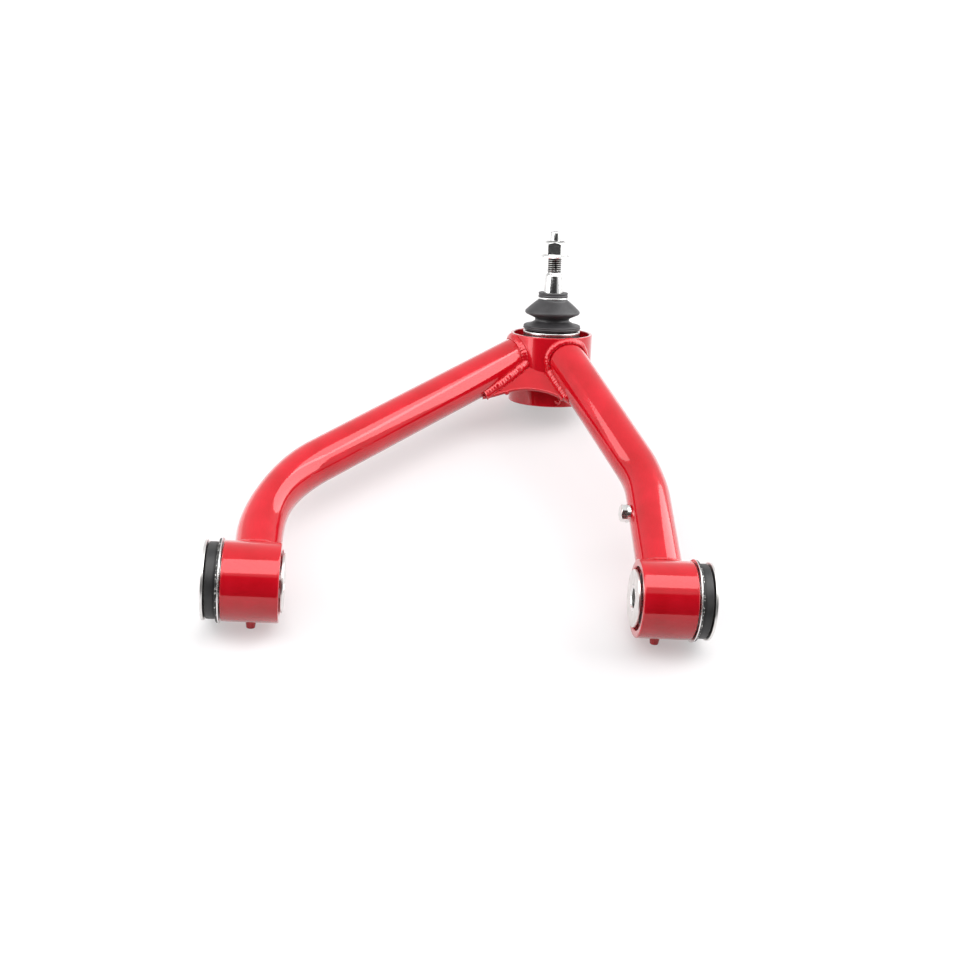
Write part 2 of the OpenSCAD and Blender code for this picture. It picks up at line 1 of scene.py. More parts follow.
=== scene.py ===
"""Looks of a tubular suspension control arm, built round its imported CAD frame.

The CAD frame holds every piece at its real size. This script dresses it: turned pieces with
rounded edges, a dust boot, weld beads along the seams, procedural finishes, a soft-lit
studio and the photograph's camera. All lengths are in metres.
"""

from __future__ import annotations

import json
import logging
import math
from collections.abc import Callable, Sequence
from dataclasses import dataclass, field
from enum import Enum

import bmesh
import bpy
from mathutils import Matrix, Vector
from mathutils.bvhtree import BVHTree


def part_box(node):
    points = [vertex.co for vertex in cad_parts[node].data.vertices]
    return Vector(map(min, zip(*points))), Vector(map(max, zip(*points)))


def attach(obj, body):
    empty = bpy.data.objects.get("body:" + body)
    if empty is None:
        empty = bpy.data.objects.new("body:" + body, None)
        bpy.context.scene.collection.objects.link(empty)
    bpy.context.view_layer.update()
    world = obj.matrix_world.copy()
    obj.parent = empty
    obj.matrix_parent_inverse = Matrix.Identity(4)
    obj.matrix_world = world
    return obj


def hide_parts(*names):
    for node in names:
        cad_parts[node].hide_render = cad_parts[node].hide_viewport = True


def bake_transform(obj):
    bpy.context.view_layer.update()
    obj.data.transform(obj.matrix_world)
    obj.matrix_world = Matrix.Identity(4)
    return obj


log = logging.getLogger("control_arm")

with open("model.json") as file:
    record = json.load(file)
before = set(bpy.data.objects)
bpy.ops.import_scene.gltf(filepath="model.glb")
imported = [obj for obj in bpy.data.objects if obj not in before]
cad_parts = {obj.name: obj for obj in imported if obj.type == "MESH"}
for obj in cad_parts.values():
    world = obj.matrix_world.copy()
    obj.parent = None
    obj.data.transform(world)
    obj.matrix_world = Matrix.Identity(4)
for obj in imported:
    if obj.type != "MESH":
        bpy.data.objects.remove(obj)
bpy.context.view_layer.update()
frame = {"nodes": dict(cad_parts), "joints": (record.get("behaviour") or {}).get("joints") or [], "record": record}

MM = 0.001
Profile = list[tuple[float, float]]
Shape = Callable[[float, float, float], float]


class Body(Enum):
    """Rigid bodies of the frame that pieces ride on."""

    ARM = "arm"
    LONG_SLEEVE = "long_sleeve"
    SHORT_SLEEVE = "short_sleeve"
    BALL_RACE = "ball_race"
    BOOT_COLLAR = "boot_collar"
    STUD = "stud"


class Leg(Enum):
    """The two legs of the arm, each with the way its bush faces along the pivot axis."""

    LONG = -1
    SHORT = 1

    @property
    def word(self) -> str:
        """Name of the leg as the CAD nodes spell it."""
        return self.name.lower()


# Image points: pixel coordinates in the photograph's 960 x 960 frame.
IMAGE_POINTS: dict[str, tuple[float, float]] = {
    "object_left": (200.5, 580.0),
    "object_right": (718.5, 600.0),
    "object_top": (556.5, 231.0),
    "object_bottom": (655.0, 643.5),
    "stud_tip": (556.5, 232.5),
    "cup_rim_left": (511.0, 330.5),
    "cup_rim_right": (591.2, 336.8),
    "cup_bottom": (557.0, 407.5),
    "long_peg_tip": (251.5, 627.8),
    "short_peg_tip": (655.0, 643.5),
    "short_bush_bore": (633.7, 597.0),
    "line_bolt": (624.5, 513.5),
    "gusset_blob": (567.0, 398.5),
    "gusset_drop": (557.5, 402.0),
    "gusset_corner": (507.0, 393.5),
    "boot_waist": (552.2, 318.0),
}


# --- Where things are ---


@dataclass(frozen=True)
class Axis:
    """A line that turned pieces are built round.

    Args:
        origin: Point at height zero.
        way: Unit vector along which heights are counted.
        side: Unit vector across the line from which angles are counted, where it matters.
    """

    origin: Vector
    way: Vector
    side: Vector | None = None

    def at(self, height: float) -> Vector:
        """Point on the line at a height."""
        return self.origin + self.way * height

    def matrix(self) -> Matrix:
        """Transform that takes +Z at the world's origin to this line."""
        if self.side is None:
            turn = self.way.to_track_quat("Z", "Y").to_matrix()
        else:
            turn = Matrix((self.side, self.way.cross(self.side), self.way)).transposed()
        return Matrix.Translation(self.origin) @ turn.to_4x4()


def mount_position(name: str) -> Vector:
    """Position of one of the record's mounts.

    Args:
        name: The mount's name.

    Returns:
        Its position in metres.
    """
    mounts = frame["record"]["mounts"]
    return Vector(next(m["pos_m"] for m in mounts if m["name"] == name))


def joint_axis(name: str) -> Axis:
    """Line of one of the frame's hinges.

    Args:
        name: The joint's name.

    Returns:
        The axis through the joint's position.
    """
    joint = next(j for j in frame["joints"] if j["name"] == name)
    return Axis(Vector(joint["pos_m"]), Vector(joint["axis"]).normalized())


def skin_distance(point: Vector, way: Vector, axis: Axis, r: float) -> float:
    """Distance from a point inside a round body to the body's skin.

    Args:
        point: Point inside the body.
        way: Unit vector to travel along.
        axis: Axis of the body.
        r: Radius of the body.

    Returns:
        Distance along the way at which the skin is reached.
    """
    off = point - axis.origin
    off -= axis.way * off.dot(axis.way)
    flat = way - axis.way * way.dot(axis.way)
    half = off.dot(flat)
    root = math.sqrt(max(0.0, half * half - flat.length_squared * (off.length_squared - r * r)))
    return (root - half) / flat.length_squared


@dataclass(frozen=True)
class LegPlan:
    """Sizes that one leg is laid out from, in its own plane through the pivot axis.

    Args:
        tilt: Angle of the leg's plane above the flat of the pivots.
        shift: How far the tube sits from the middle of its barrel, along the pivot axis.
        corner: Distance of the bend's corner from the pivot axis.
        pass_by: How far the tube's centre line passes the cup's axis.
        flattening: How much the tube is narrowed at the middle of its bend.
    """

    tilt: float
    shift: float
    corner: float
    pass_by: float
    flattening: float


@dataclass(frozen=True)
class LegRoute:
    """Centre line of a leg: a straight out of the barrel, a bend, and a straight to the cup.

    Args:
        start: Point on the barrel's axis.
        first_way: Unit vector along the first straight.
        first_length: Length from the start to the bend.
        normal: Unit vector across the leg's plane.
        turn: Signed angle of the bend about the normal.
        bend_radius: Radius of the bend.
        end: End of the second straight, beside the cup's axis.
    """

    start: Vector
    first_way: Vector
    first_length: float
    normal: Vector
    turn: float
    bend_radius: float
    end: Vector

    def station(self, share: float) -> tuple[Vector, Vector]:
        """Centre and way at a share of the bend, from 0 at its start to 1 at its end."""
        begin = self.start + self.first_way * self.first_length
        inward = self.normal.cross(self.first_way) * math.copysign(1.0, self.turn)
        pivot = begin + inward * self.bend_radius
        spin = Matrix.Rotation(self.turn * share, 3, self.normal)
        return pivot + spin @ (begin - pivot), spin @ self.first_way

    @property
    def last_way(self) -> Vector:
        """Unit vector along the second straight, away from the barrel."""
        return self.station(1.0)[1]


@dataclass(frozen=True)
class ArmLayout:
    """Driving sizes of the arm, which its tubes, seams and gusset are worked out from."""

    tube_r: float = 19.05 * MM
    tube_wall: float = 3.2 * MM
    bend_radius: float = 135 * MM
    cup_r: float = 39.5 * MM
    cup_wall: float = 3 * MM
    cup_height: float = 66 * MM
    ball_depth: float = 14 * MM
    gusset_slope: float = math.radians(15.2)
    gusset_roll: float = math.radians(7.4)
    gusset_nose: float = 73 * MM
    gusset_edge_radius: float = 51 * MM
    gusset_edge_curl: float = 7 * MM
    gusset_thickness: float = 3.5 * MM
    plans: dict[Leg, LegPlan] = field(
        default_factory=lambda: {
            Leg.LONG: LegPlan(math.radians(3.9), 2 * MM, 107.8 * MM, 15.6 * MM, 0.10),
            Leg.SHORT: LegPlan(math.radians(6.5), 1 * MM, 136.8 * MM, 2.4 * MM, 0.03),
        }
    )

    @staticmethod
    def in_plane(tilt: float, x: float, y: float) -> Vector:
        """World position of a point in a plane that tilts about the pivot axis."""
        return Vector((x, y * math.cos(tilt), y * math.sin(tilt)))

    def cup_axis(self) -> Axis:
        """Axis of the cup and ball joint, with height zero at the cup's rim."""
        ball = joint_axis("ball_azimuth")
        return Axis(ball.at(self.ball_depth), ball.way)

    def bush_axis(self, leg: Leg) -> Axis:
        """Axis of a bush, with height zero mid-barrel and heights counted out of the arm."""
        centre = mount_position(f"{leg.word}_bush_bore")
        return Axis(centre, Vector((float(leg.value), 0.0, 0.0)))

    def route(self, leg: Leg) -> LegRoute:
        """Works a leg's centre line out from its plan and the cup's axis."""
        plan = self.plans[leg]
        x = self.bush_axis(leg).origin.x + plan.shift
        axis = self.cup_axis()
        slope = math.tan(plan.tilt)
        along = (axis.origin.y * slope - axis.origin.z) / (axis.way.z - axis.way.y * slope)
        crossing = axis.at(along)
        aim = Vector((crossing.x - x, crossing.y / math.cos(plan.tilt) - plan.corner))
        heading = math.atan2(aim.x, aim.y) - math.asin(plan.pass_by / aim.length)
        length = math.sqrt(aim.length_squared - plan.pass_by**2)
        end = (x + length * math.sin(heading), plan.corner + length * math.cos(heading))
        tangent = self.bend_radius * math.tan(abs(heading) / 2)
        return LegRoute(
            start=self.in_plane(plan.tilt, x, 0.0),
            first_way=self.in_plane(plan.tilt, 0.0, 1.0),
            first_length=plan.corner - tangent,
            normal=Vector((0.0, -math.sin(plan.tilt), math.cos(plan.tilt))),
            turn=-heading,
            bend_radius=self.bend_radius,
            end=self.in_plane(plan.tilt, *end),
        )

    def gusset_turn(self) -> Matrix:
        """Rotation that takes the flat plate to its slope and roll."""
        slope = Matrix.Rotation(self.gusset_slope, 3, "X")
        return Matrix.Rotation(-self.gusset_roll, 3, "Y") @ slope

    def on_gusset(self, offset: Vector) -> Vector:
        """Point of the gusset's plane above or below an offset from the rim's centre."""
        out = offset.y / math.cos(self.gusset_slope)
        side = offset.x + out * math.sin(self.gusset_slope) * math.sin(self.gusset_roll)
        return Vector((side / math.cos(self.gusset_roll), out))

    def gusset_point(self, spot: Vector, height: float = 0.0) -> Vector:
        """World position of a point of the gusset's plane, at a height above its top face."""
        turn = self.gusset_turn()
        return self.cup_axis().origin + turn @ Vector((spot.x, spot.y, height))

    def gusset_side(self, leg: Leg) -> tuple[Vector, Vector]:
        """Where a leg's centre line starts and runs in the gusset's plane."""
        route = self.route(leg)
        foot = self.on_gusset(route.end - self.cup_axis().origin)
        return foot, self.on_gusset(-route.last_way).normalized()

    def gusset_edge(self, steps: int = 48) -> list[tuple[Vector, Vector]]:
        """Points along the gusset's front edge, from inside one tube to inside the other.

        Args:
            steps: Number of segments.

        Returns:
            Points of the gusset's plane, each with the edge's outward direction.
        """
        sides = {leg: self.gusset_side(leg) for leg in Leg}
        middle = (sides[Leg.LONG][1] + sides[Leg.SHORT][1]).normalized()
        centre = middle * (self.gusset_nose + self.gusset_edge_radius)
        angles = []
        for leg in Leg:
            foot, way = sides[leg]
            off = foot - centre
            nearest = off - way * off.dot(way)
            angles.append(math.atan2((-middle).cross(nearest), (-middle).dot(nearest)))
        edge = []
        for i in range(steps + 1):
            angle = angles[0] + (angles[1] - angles[0]) * i / steps
            out = Matrix.Rotation(angle, 2) @ -middle
            curl = self.gusset_edge_curl * (2 * i / steps - 1) ** 6
            edge.append((centre + out * (self.gusset_edge_radius + curl), -out))
        return edge


# --- Meshes ---


def arc(centre: tuple[float, float], r: float, start: float, end: float, steps: int = 8) -> Profile:
    """Points along a round fold of a profile.

    Args:
        centre: Radius and height of the arc's centre.
        r: Radius of the arc.
        start: First angle, in degrees.
        end: Last angle, in degrees.
        steps: Number of segments.

    Returns:
        The arc's points as radius and height.
    """
    angles = [math.radians(start + (end - start) * i / steps) for i in range(steps + 1)]
    return [(centre[0] + r * math.cos(a), centre[1] + r * math.sin(a)) for a in angles]


def rounded(corners: Profile, radius: float, steps: int = 3) -> Profile:
    """Rounds every corner of a closed profile and holds the flats beside it flat.

    Args:
        corners: Closed outline as radius and height.
        radius: Radius of each rounded corner, less where an edge is short.
        steps: Segments in each corner.

    Returns:
        The outline with each corner as an arc between two support points.
    """
    result: Profile = []
    count = len(corners)
    for i, corner in enumerate(corners):
        here = Vector(corner)
        back = Vector(corners[i - 1]) - here
        ahead = Vector(corners[(i + 1) % count]) - here
        if here.x < 1e-7 or radius <= 0:
            result.append(corner)
            continue
        reach = min(radius, 0.42 * back.length, 0.42 * ahead.length)
        start = here + back.normalized() * reach
        end = here + ahead.normalized() * reach
        if back.length > 3 * reach:
            result.append(tuple(here + back.normalized() * 1.5 * reach))
        for step in range(steps + 1):
            t = step / steps
            point = start * (1 - t) ** 2 + here * 2 * t * (1 - t) + end * t**2
            result.append(tuple(point))
        if ahead.length > 3 * reach:
            result.append(tuple(here + ahead.normalized() * 1.5 * reach))
    return result


def ring_profile(outer: float, inner: float, bottom: float, top: float, edge: float) -> Profile:
    """Closed profile of a plain ring with rounded edges."""
    box = [(inner, bottom), (outer, bottom), (outer, top), (inner, top)]
    return rounded(box, edge)


def turned(
    name: str,
    profile: Profile,
    axis: Axis,
    segments: int = 96,
    shape: Shape | None = None,
) -> bpy.types.Object:
    """Spins a closed profile round an axis into a solid.

    Args:
        name: Name of the new object.
        profile: Closed outline as radius and height.
        axis: Line to spin round.
        segments: Steps round the axis.
        shape: Optional function of angle, height and radius that gives another radius,
            for flats and threads.

    Returns:
        The object, with its place in its mesh.
    """
    mesh = bmesh.new()
    place = axis.matrix()
    rings: list[list[bmesh.types.BMVert]] = []
    for r, h in profile:
        if r < 1e-7:
            rings.append([mesh.verts.new(place @ Vector((0, 0, h)))])
            continue
        row = []
        for k in range(segments):
            a = math.tau * k / segments
            rr = shape(a, h, r) if shape else r
            row.append(mesh.verts.new(place @ Vector((rr * math.cos(a), rr * math.sin(a), h))))
        rings.append(row)
    for here, there in zip(rings, rings[1:] + rings[:1]):
        for k in range(segments):
            j = (k + 1) % segments
            loop = [here[k % len(here)], here[j % len(here)]]
            loop += [there[j % len(there)], there[k % len(there)]]
            unique = list(dict.fromkeys(loop))
            if len(unique) > 2:
                mesh.faces.new(unique)
    return finish_mesh(name, mesh)


def finish_mesh(name: str, mesh: bmesh.types.BMesh, sharp: float = 38.0) -> bpy.types.Object:
    """Turns a bmesh into a linked object with outward faces and smooth shading.

    Args:
        name: Name of the new object.
        mesh: The mesh, which is freed.
        sharp: Angle in degrees above which an edge stays sharp.

    Returns:
        The object.
    """
    bmesh.ops.remove_doubles(mesh, verts=mesh.verts, dist=1e-7)
    bmesh.ops.recalc_face_normals(mesh, faces=mesh.faces)
    data = bpy.data.meshes.new(name)
    mesh.to_mesh(data)
    mesh.free()
    data.shade_smooth()
    data.set_sharp_from_angle(angle=math.radians(sharp))
    obj = bpy.data.objects.new(name, data)
    bpy.context.scene.collection.objects.link(obj)
    return obj


def hexagonal(flats: float, low: float, high: float, turn: float = 0.0) -> Shape:
    """Radius function that cuts a turned shape to a hexagon between two heights.

    Args:
        flats: Distance across the flats.
        low: Height at which the hexagon starts.
        high: Height at which it ends.
        turn: Angle of a corner, counted from the axis' side.

    Returns:
        The function for turned().
    """

    def cut(angle: float, height: float, r: float) -> float:
        """Radius of the hexagon's flat within its heights, and the radius as it was outside."""
        if not low <= height <= high:
            return r
        off = (angle - turn) % (math.pi / 3) - math.pi / 6
        return min(r, flats / 2 / math.cos(off))

    return cut


# --- Shader groups ---


def new_group(name: str, inputs: dict[str, tuple[str, float]], outputs: Sequence[str]):
    """Makes a shader node group with its sockets.

    Args:
        name: Name of the group.
        inputs: Socket kind and default of each input.
        outputs: Names of the float outputs.

    Returns:
        The group, its input node and its output node.
    """
    group = bpy.data.node_groups.new(name, "ShaderNodeTree")
    for label, (kind, default) in inputs.items():
        socket = group.interface.new_socket(label, in_out="INPUT", socket_type=kind)
        if kind == "NodeSocketFloat":
            socket.default_value = default
    for label in outputs:
        group.interface.new_socket(label, in_out="OUTPUT", socket_type="NodeSocketFloat")
    return group, group.nodes.new("NodeGroupInput"), group.nodes.new("NodeGroupOutput")


def mottle_group() -> bpy.types.NodeTree:
    """Cloudy noise: a mask between two levels, and the same noise as a height."""
    group, source, sink = new_group(
        "mottle",
        {
            "Vector": ("NodeSocketVector", 0.0),
            "Scale": ("NodeSocketFloat", 100.0),
            "Detail": ("NodeSocketFloat", 3.0),
            "Low": ("NodeSocketFloat", 0.3),
            "High": ("NodeSocketFloat", 0.7),
        },
        ["Mask", "Height"],
    )
    noise = group.nodes.new("ShaderNodeTexNoise")
    levels = group.nodes.new("ShaderNodeMapRange")
    link = group.links.new
    link(source.outputs["Vector"], noise.inputs["Vector"])
    link(source.outputs["Scale"], noise.inputs["Scale"])
    link(source.outputs["Detail"], noise.inputs["Detail"])
    link(noise.outputs["Fac"], levels.inputs["Value"])
    link(source.outputs["Low"], levels.inputs["From Min"])
    link(source.outputs["High"], levels.inputs["From Max"])
    link(levels.outputs["Result"], sink.inputs["Mask"])
    link(noise.outputs["Fac"], sink.inputs["Height"])
    return group


def turning_group() -> bpy.types.NodeTree:
    """Fine rings left by a lathe, counted by distance from the axis and by height."""
    group, source, sink = new_group(
        "turning_marks",
        {"Vector": ("NodeSocketVector", 0.0), "Pitch": ("NodeSocketFloat", 0.0004)},
        ["Height"],
    )
    nodes = group.nodes
    link = group.links.new
    split = nodes.new("ShaderNodeSeparateXYZ")
    flat = nodes.new("ShaderNodeCombineXYZ")
    radius = nodes.new("ShaderNodeVectorMath")
    radius.operation = "LENGTH"
    total = nodes.new("ShaderNodeMath")
    count = nodes.new("ShaderNodeMath")
    count.operation = "DIVIDE"
    noise = nodes.new("ShaderNodeTexNoise")
    noise.noise_dimensions = "1D"
    noise.inputs["Scale"].default_value = 1.0
    noise.inputs["Detail"].default_value = 2.0
    link(source.outputs["Vector"], split.inputs[0])
    link(split.outputs["X"], flat.inputs["X"])
    link(split.outputs["Y"], flat.inputs["Y"])
    link(flat.outputs[0], radius.inputs[0])
    link(radius.outputs["Value"], total.inputs[0])
    link(split.outputs["Z"], total.inputs[1])
    link(total.outputs[0], count.inputs[0])
    link(source.outputs["Pitch"], count.inputs[1])
    link(count.outputs[0], noise.inputs["W"])
    link(noise.outputs["Fac"], sink.inputs["Height"])
    return group


class Groups:
    """The shader groups, each built once and shared by the finishes."""

    def __init__(self) -> None:
        """Builds both groups."""
        self.mottle = mottle_group()
        self.turning = turning_group()


# --- Finishes ---


class Painter:
    """Wires one material's nodes.

    Args:
        name: Name of the material.
        groups: The shared shader groups.
        axis: Line that the piece was turned round, for patterns that follow it.
    """

    def __init__(self, name: str, groups: Groups, axis: Axis | None = None) -> None:
        """Makes an empty material that is shaded about an axis, if one is given."""
        self.groups = groups
        self.material = bpy.data.materials.new(name)
        self.material.use_nodes = True
        self.nodes = self.material.node_tree.nodes
        self.link = self.material.node_tree.links.new
        self.shader = self.nodes["Principled BSDF"]
        coordinates = self.nodes.new("ShaderNodeTexCoord")
        mapping = self.nodes.new("ShaderNodeMapping")
        if axis is not None:
            inverse = axis.matrix().inverted()
            mapping.inputs["Location"].default_value = inverse.to_translation()
            mapping.inputs["Rotation"].default_value = inverse.to_euler("XYZ")
        self.link(coordinates.outputs["Object"], mapping.inputs["Vector"])
        self.vector = mapping.outputs["Vector"]

    def set(self, **values: float | tuple[float, ...]) -> None:
        """Sets constants on the shader's own sockets, words joined by underscores."""
        for label, value in values.items():
            socket = label.replace("_", " ").title().replace("Ior", "IOR")
            self.shader.inputs[socket].default_value = value

    def mottle(self, scale: float, detail: float, low: float, high: float) -> bpy.types.Node:
        """Adds the mottle group.

        Args:
            scale: Cells in a metre.
            detail: Octaves of the noise.
            low: Noise value where the mask is 0.
            high: Noise value where the mask is 1.

        Returns:
            The group node, with outputs Mask and Height.
        """
        node = self.nodes.new("ShaderNodeGroup")
        node.node_tree = self.groups.mottle
        self.link(self.vector, node.inputs["Vector"])
        for label, value in (("Scale", scale), ("Detail", detail), ("Low", low), ("High", high)):
            node.inputs[label].default_value = value
        return node

    def turning(self, pitch: float) -> bpy.types.Node:
        """Adds the turning marks group and returns its node."""
        node = self.nodes.new("ShaderNodeGroup")
        node.node_tree = self.groups.turning
        self.link(self.vector, node.inputs["Vector"])
        node.inputs["Pitch"].default_value = pitch
        return node

    def colour(
        self, mask: bpy.types.NodeSocket, low: Sequence[float], high: Sequence[float]
    ) -> None:
        """Blends the base colour between two colours by a mask."""
        mix = self.nodes.new("ShaderNodeMix")
        mix.data_type = "RGBA"
        mix.inputs["A"].default_value = (*low, 1.0)
        mix.inputs["B"].default_value = (*high, 1.0)
        self.link(mask, mix.inputs["Factor"])
        self.link(mix.outputs["Result"], self.shader.inputs["Base Color"])

    def darken(self, attribute: str, dark: Sequence[float]) -> None:
        """Mixes the base colour towards a dark one by an attribute of the mesh."""
        source = self.nodes.new("ShaderNodeAttribute")
        source.attribute_name = attribute
        base = self.shader.inputs["Base Color"]
        mix = self.nodes.new("ShaderNodeMix")
        mix.data_type = "RGBA"
        mix.inputs["B"].default_value = (*dark, 1.0)
        self.link(base.links[0].from_socket, mix.inputs["A"])
        self.link(source.outputs["Fac"], mix.inputs["Factor"])
        self.link(mix.outputs["Result"], base)

    def level(self, mask: bpy.types.NodeSocket, socket: str, low: float, high: float) -> None:
        """Blends one of the shader's values between two levels by a mask."""
        span = self.nodes.new("ShaderNodeMapRange")
        span.inputs["To Min"].default_value = low
        span.inputs["To Max"].default_value = high
        self.link(mask, span.inputs["Value"])
        self.link(span.outputs["Result"], self.shader.inputs[socket])

    def bump(
        self, height: bpy.types.NodeSocket, depth: float, under: bpy.types.Node | None = None
    ) -> bpy.types.Node:
        """Adds a bump of a given depth on the shader's normal.

        Args:
            height: Height signal from 0 to 1.
            depth: Its depth in metres.
            under: Bump node that this one goes on top of.

        Returns:
            The new bump node.
        """
        node = self.nodes.new("ShaderNodeBump")
        node.inputs["Strength"].default_value = 1.0
        node.inputs["Distance"].default_value = depth
        self.link(height, node.inputs["Height"])
        if under is not None:
            self.link(under.outputs["Normal"], node.inputs["Normal"])
        self.link(node.outputs["Normal"], self.shader.inputs["Normal"])
        return node


@dataclass(frozen=True)
class Finish:
    """A finish that a piece may have.

    Args:
        name: Its name.
    """

    name: str

    def build(self, name: str, groups: Groups, axis: Axis | None) -> bpy.types.Material:
        """Builds the material.

        Args:
            name: Name of the material.
            groups: The shared shader groups.
            axis: Line that its patterns follow.

        Returns:
            The material.
        """
        raise NotImplementedError


@dataclass(frozen=True)
class PaintFinish(Finish):
    """Glossy powder coat with faint orange peel."""

    deep: tuple[float, float, float] = (0.56, 0.003, 0.010)
    bright: tuple[float, float, float] = (0.66, 0.006, 0.018)
    roughness: float = 0.14
    flake: float = 0.15
    peel_depth: float = 0.000020
    peel_scale: float = 420.0
    lumps: float = 0.0

    def build(self, name: str, groups: Groups, axis: Axis | None) -> bpy.types.Material:
        """Builds the material."""
        painter = Painter(name, groups, axis)
        painter.set(metallic=self.flake, coat_weight=1.0, coat_roughness=0.025, coat_ior=1.5)
        painter.set(ior=1.45, specular_ior_level=0.1)
        cloud = painter.mottle(38.0, 4.0, 0.35, 0.68)
        painter.colour(cloud.outputs["Mask"], self.deep, self.bright)
        painter.level(cloud.outputs["Mask"], "Roughness", self.roughness, self.roughness + 0.1)
        peel = painter.mottle(self.peel_scale, 1.5, 0.3, 0.7)
        base = painter.bump(peel.outputs["Height"], self.peel_depth)
        if self.lumps > 0:
            lump = painter.mottle(260.0, 3.0, 0.3, 0.7)
            base = painter.bump(lump.outputs["Height"], self.lumps, base)
        painter.link(base.outputs["Normal"], painter.shader.inputs["Coat Normal"])
        return painter.material


@dataclass(frozen=True)
class MetalFinish(Finish):
    """Plated, ground or phosphated steel, with turning marks and mottled gloss."""

    dull: tuple[float, float, float]
    bright: tuple[float, float, float]
    roughness: float
    spread: float = 0.12
    pitch: float = 0.0005
    mark_depth: float = 0.0000030
    grain_scale: float = 900.0
    # Name of a mesh attribute by which painted shade darkens the colour; empty for none.
    groove: str = ""

    def build(self, name: str, groups: Groups, axis: Axis | None) -> bpy.types.Material:
        """Builds the material, darkened towards near-black by a mesh attribute where one is named: painted shade
        in the thread's hollows.
        """
        painter = Painter(name, groups, axis)
        painter.set(metallic=1.0)
        cloud = painter.mottle(120.0, 5.0, 0.35, 0.65)
        painter.colour(cloud.outputs["Mask"], self.dull, self.bright)
        if self.groove:
            # Painted shade: the colour goes near-black in the thread's hollows.
            painter.darken(self.groove, (0.05, 0.048, 0.045))
        grain = painter.mottle(self.grain_scale, 2.0, 0.25, 0.75)
        painter.level(
            grain.outputs["Mask"], "Roughness", self.roughness, self.roughness + self.spread
        )
        marks = painter.turning(self.pitch)
        first = painter.bump(grain.outputs["Height"], self.mark_depth)
        painter.bump(marks.outputs["Height"], self.mark_depth, first)
        return painter.material


@dataclass(frozen=True)
class RubberFinish(Finish):
    """Moulded rubber or nylon: dull, faintly blotched, with a fine grain."""

    dark: tuple[float, float, float] = (0.020, 0.020, 0.021)
    bloom: tuple[float, float, float] = (0.036, 0.035, 0.035)
    roughness: float = 0.42
    grain_depth: float = 0.000012
    grain_scale: float = 1500.0

    def build(self, name: str, groups: Groups, axis: Axis | None) -> bpy.types.Material:
        """Builds the material."""
        painter = Painter(name, groups, axis)
        painter.set(metallic=0.0, specular_ior_level=0.5)
        cloud = painter.mottle(90.0, 5.0, 0.38, 0.68)
        painter.colour(cloud.outputs["Mask"], self.dark, self.bloom)
        painter.level(cloud.outputs["Mask"], "Roughness", self.roughness, self.roughness + 0.14)
        grain = painter.mottle(self.grain_scale, 2.0, 0.3, 0.7)
        painter.bump(grain.outputs["Height"], self.grain_depth)
        return painter.material


@dataclass(frozen=True)
class FlakedRubberFinish(Finish):
    """Black rubber skin that has flaked off the steel in small scraps."""

    steel: tuple[float, float, float] = (0.62, 0.61, 0.59)
    skin: tuple[float, float, float] = (0.010, 0.010, 0.010)
    flake_scale: float = 620.0

    def build(self, name: str, groups: Groups, axis: Axis | None) -> bpy.types.Material:
        """Builds the material."""
        painter = Painter(name, groups, axis)
        flakes = painter.mottle(self.flake_scale, 3.0, 0.575, 0.615)
        mask = flakes.outputs["Mask"]
        painter.colour(mask, self.skin, self.steel)
        painter.level(mask, "Metallic", 0.0, 0.6)
        painter.level(mask, "Roughness", 0.5, 0.3)
        painter.bump(mask, 0.00008)
        return painter.material


class Finishes:
    """Every finish of the arm, as the photograph shows it."""

    paint = PaintFinish("red_powder_coat")
    # Darker, rougher red for the seat ring deep in the cup: painted shade, standing in for the cup's shadow and
    # holding back the ring's bounce light.
    seat_paint = PaintFinish("thin_seat_paint", (0.16, 0.001, 0.004), (0.24, 0.002, 0.008), 0.4)
    weld_paint = PaintFinish("painted_weld", peel_depth=0.00003, lumps=0.00022)
    washer = MetalFinish("satin_zinc_washer", (0.70, 0.69, 0.67), (0.82, 0.81, 0.79), 0.28)
    zinc = MetalFinish("bright_zinc", (0.74, 0.74, 0.73), (0.88, 0.88, 0.87), 0.18)
    nut = MetalFinish("nut_zinc", (0.82, 0.82, 0.81), (0.92, 0.92, 0.91), 0.14)
    # The stud's steel carries painted shade that darkens its thread's hollows.
    steel = MetalFinish(
        "ground_stud_steel", (0.60, 0.60, 0.59), (0.76, 0.76, 0.75), 0.15, 0.08, groove="groove"
    )
    phosphate = MetalFinish("dark_phosphate", (0.10, 0.10, 0.10), (0.20, 0.20, 0.20), 0.45)
    rubber = RubberFinish("bush_rubber")
    boot = RubberFinish("boot_rubber", (0.034, 0.033, 0.035), (0.052, 0.050, 0.053), 0.38)
    nylon = RubberFinish("race_nylon", (0.62, 0.60, 0.54), (0.74, 0.72, 0.66), 0.4)
    lock_nylon = RubberFinish("lock_ring_nylon", (0.012, 0.012, 0.012), (0.02, 0.02, 0.02), 0.4)
    flaked = FlakedRubberFinish("flaked_lip_rubber")


class Palette:
    """Materials of the arm, each built once from its finish."""

    def __init__(self) -> None:
        """Builds the shader groups."""
        self.groups = Groups()
        self.made: dict[str, bpy.types.Material] = {}

    def material(
        self, finish: Finish, axis: Axis | None = None, word: str = ""
    ) -> bpy.types.Material:
        """Material of a finish.

        Args:
            finish: The finish.
            axis: Line that its patterns follow.
            word: Name of what the axis belongs to.

        Returns:
            The material, the same one each time.
        """
        name = f"{finish.name}_{word}" if word else finish.name
        if name not in self.made:
            self.made[name] = finish.build(name, self.groups, axis)
        return self.made[name]


# --- Pieces ---


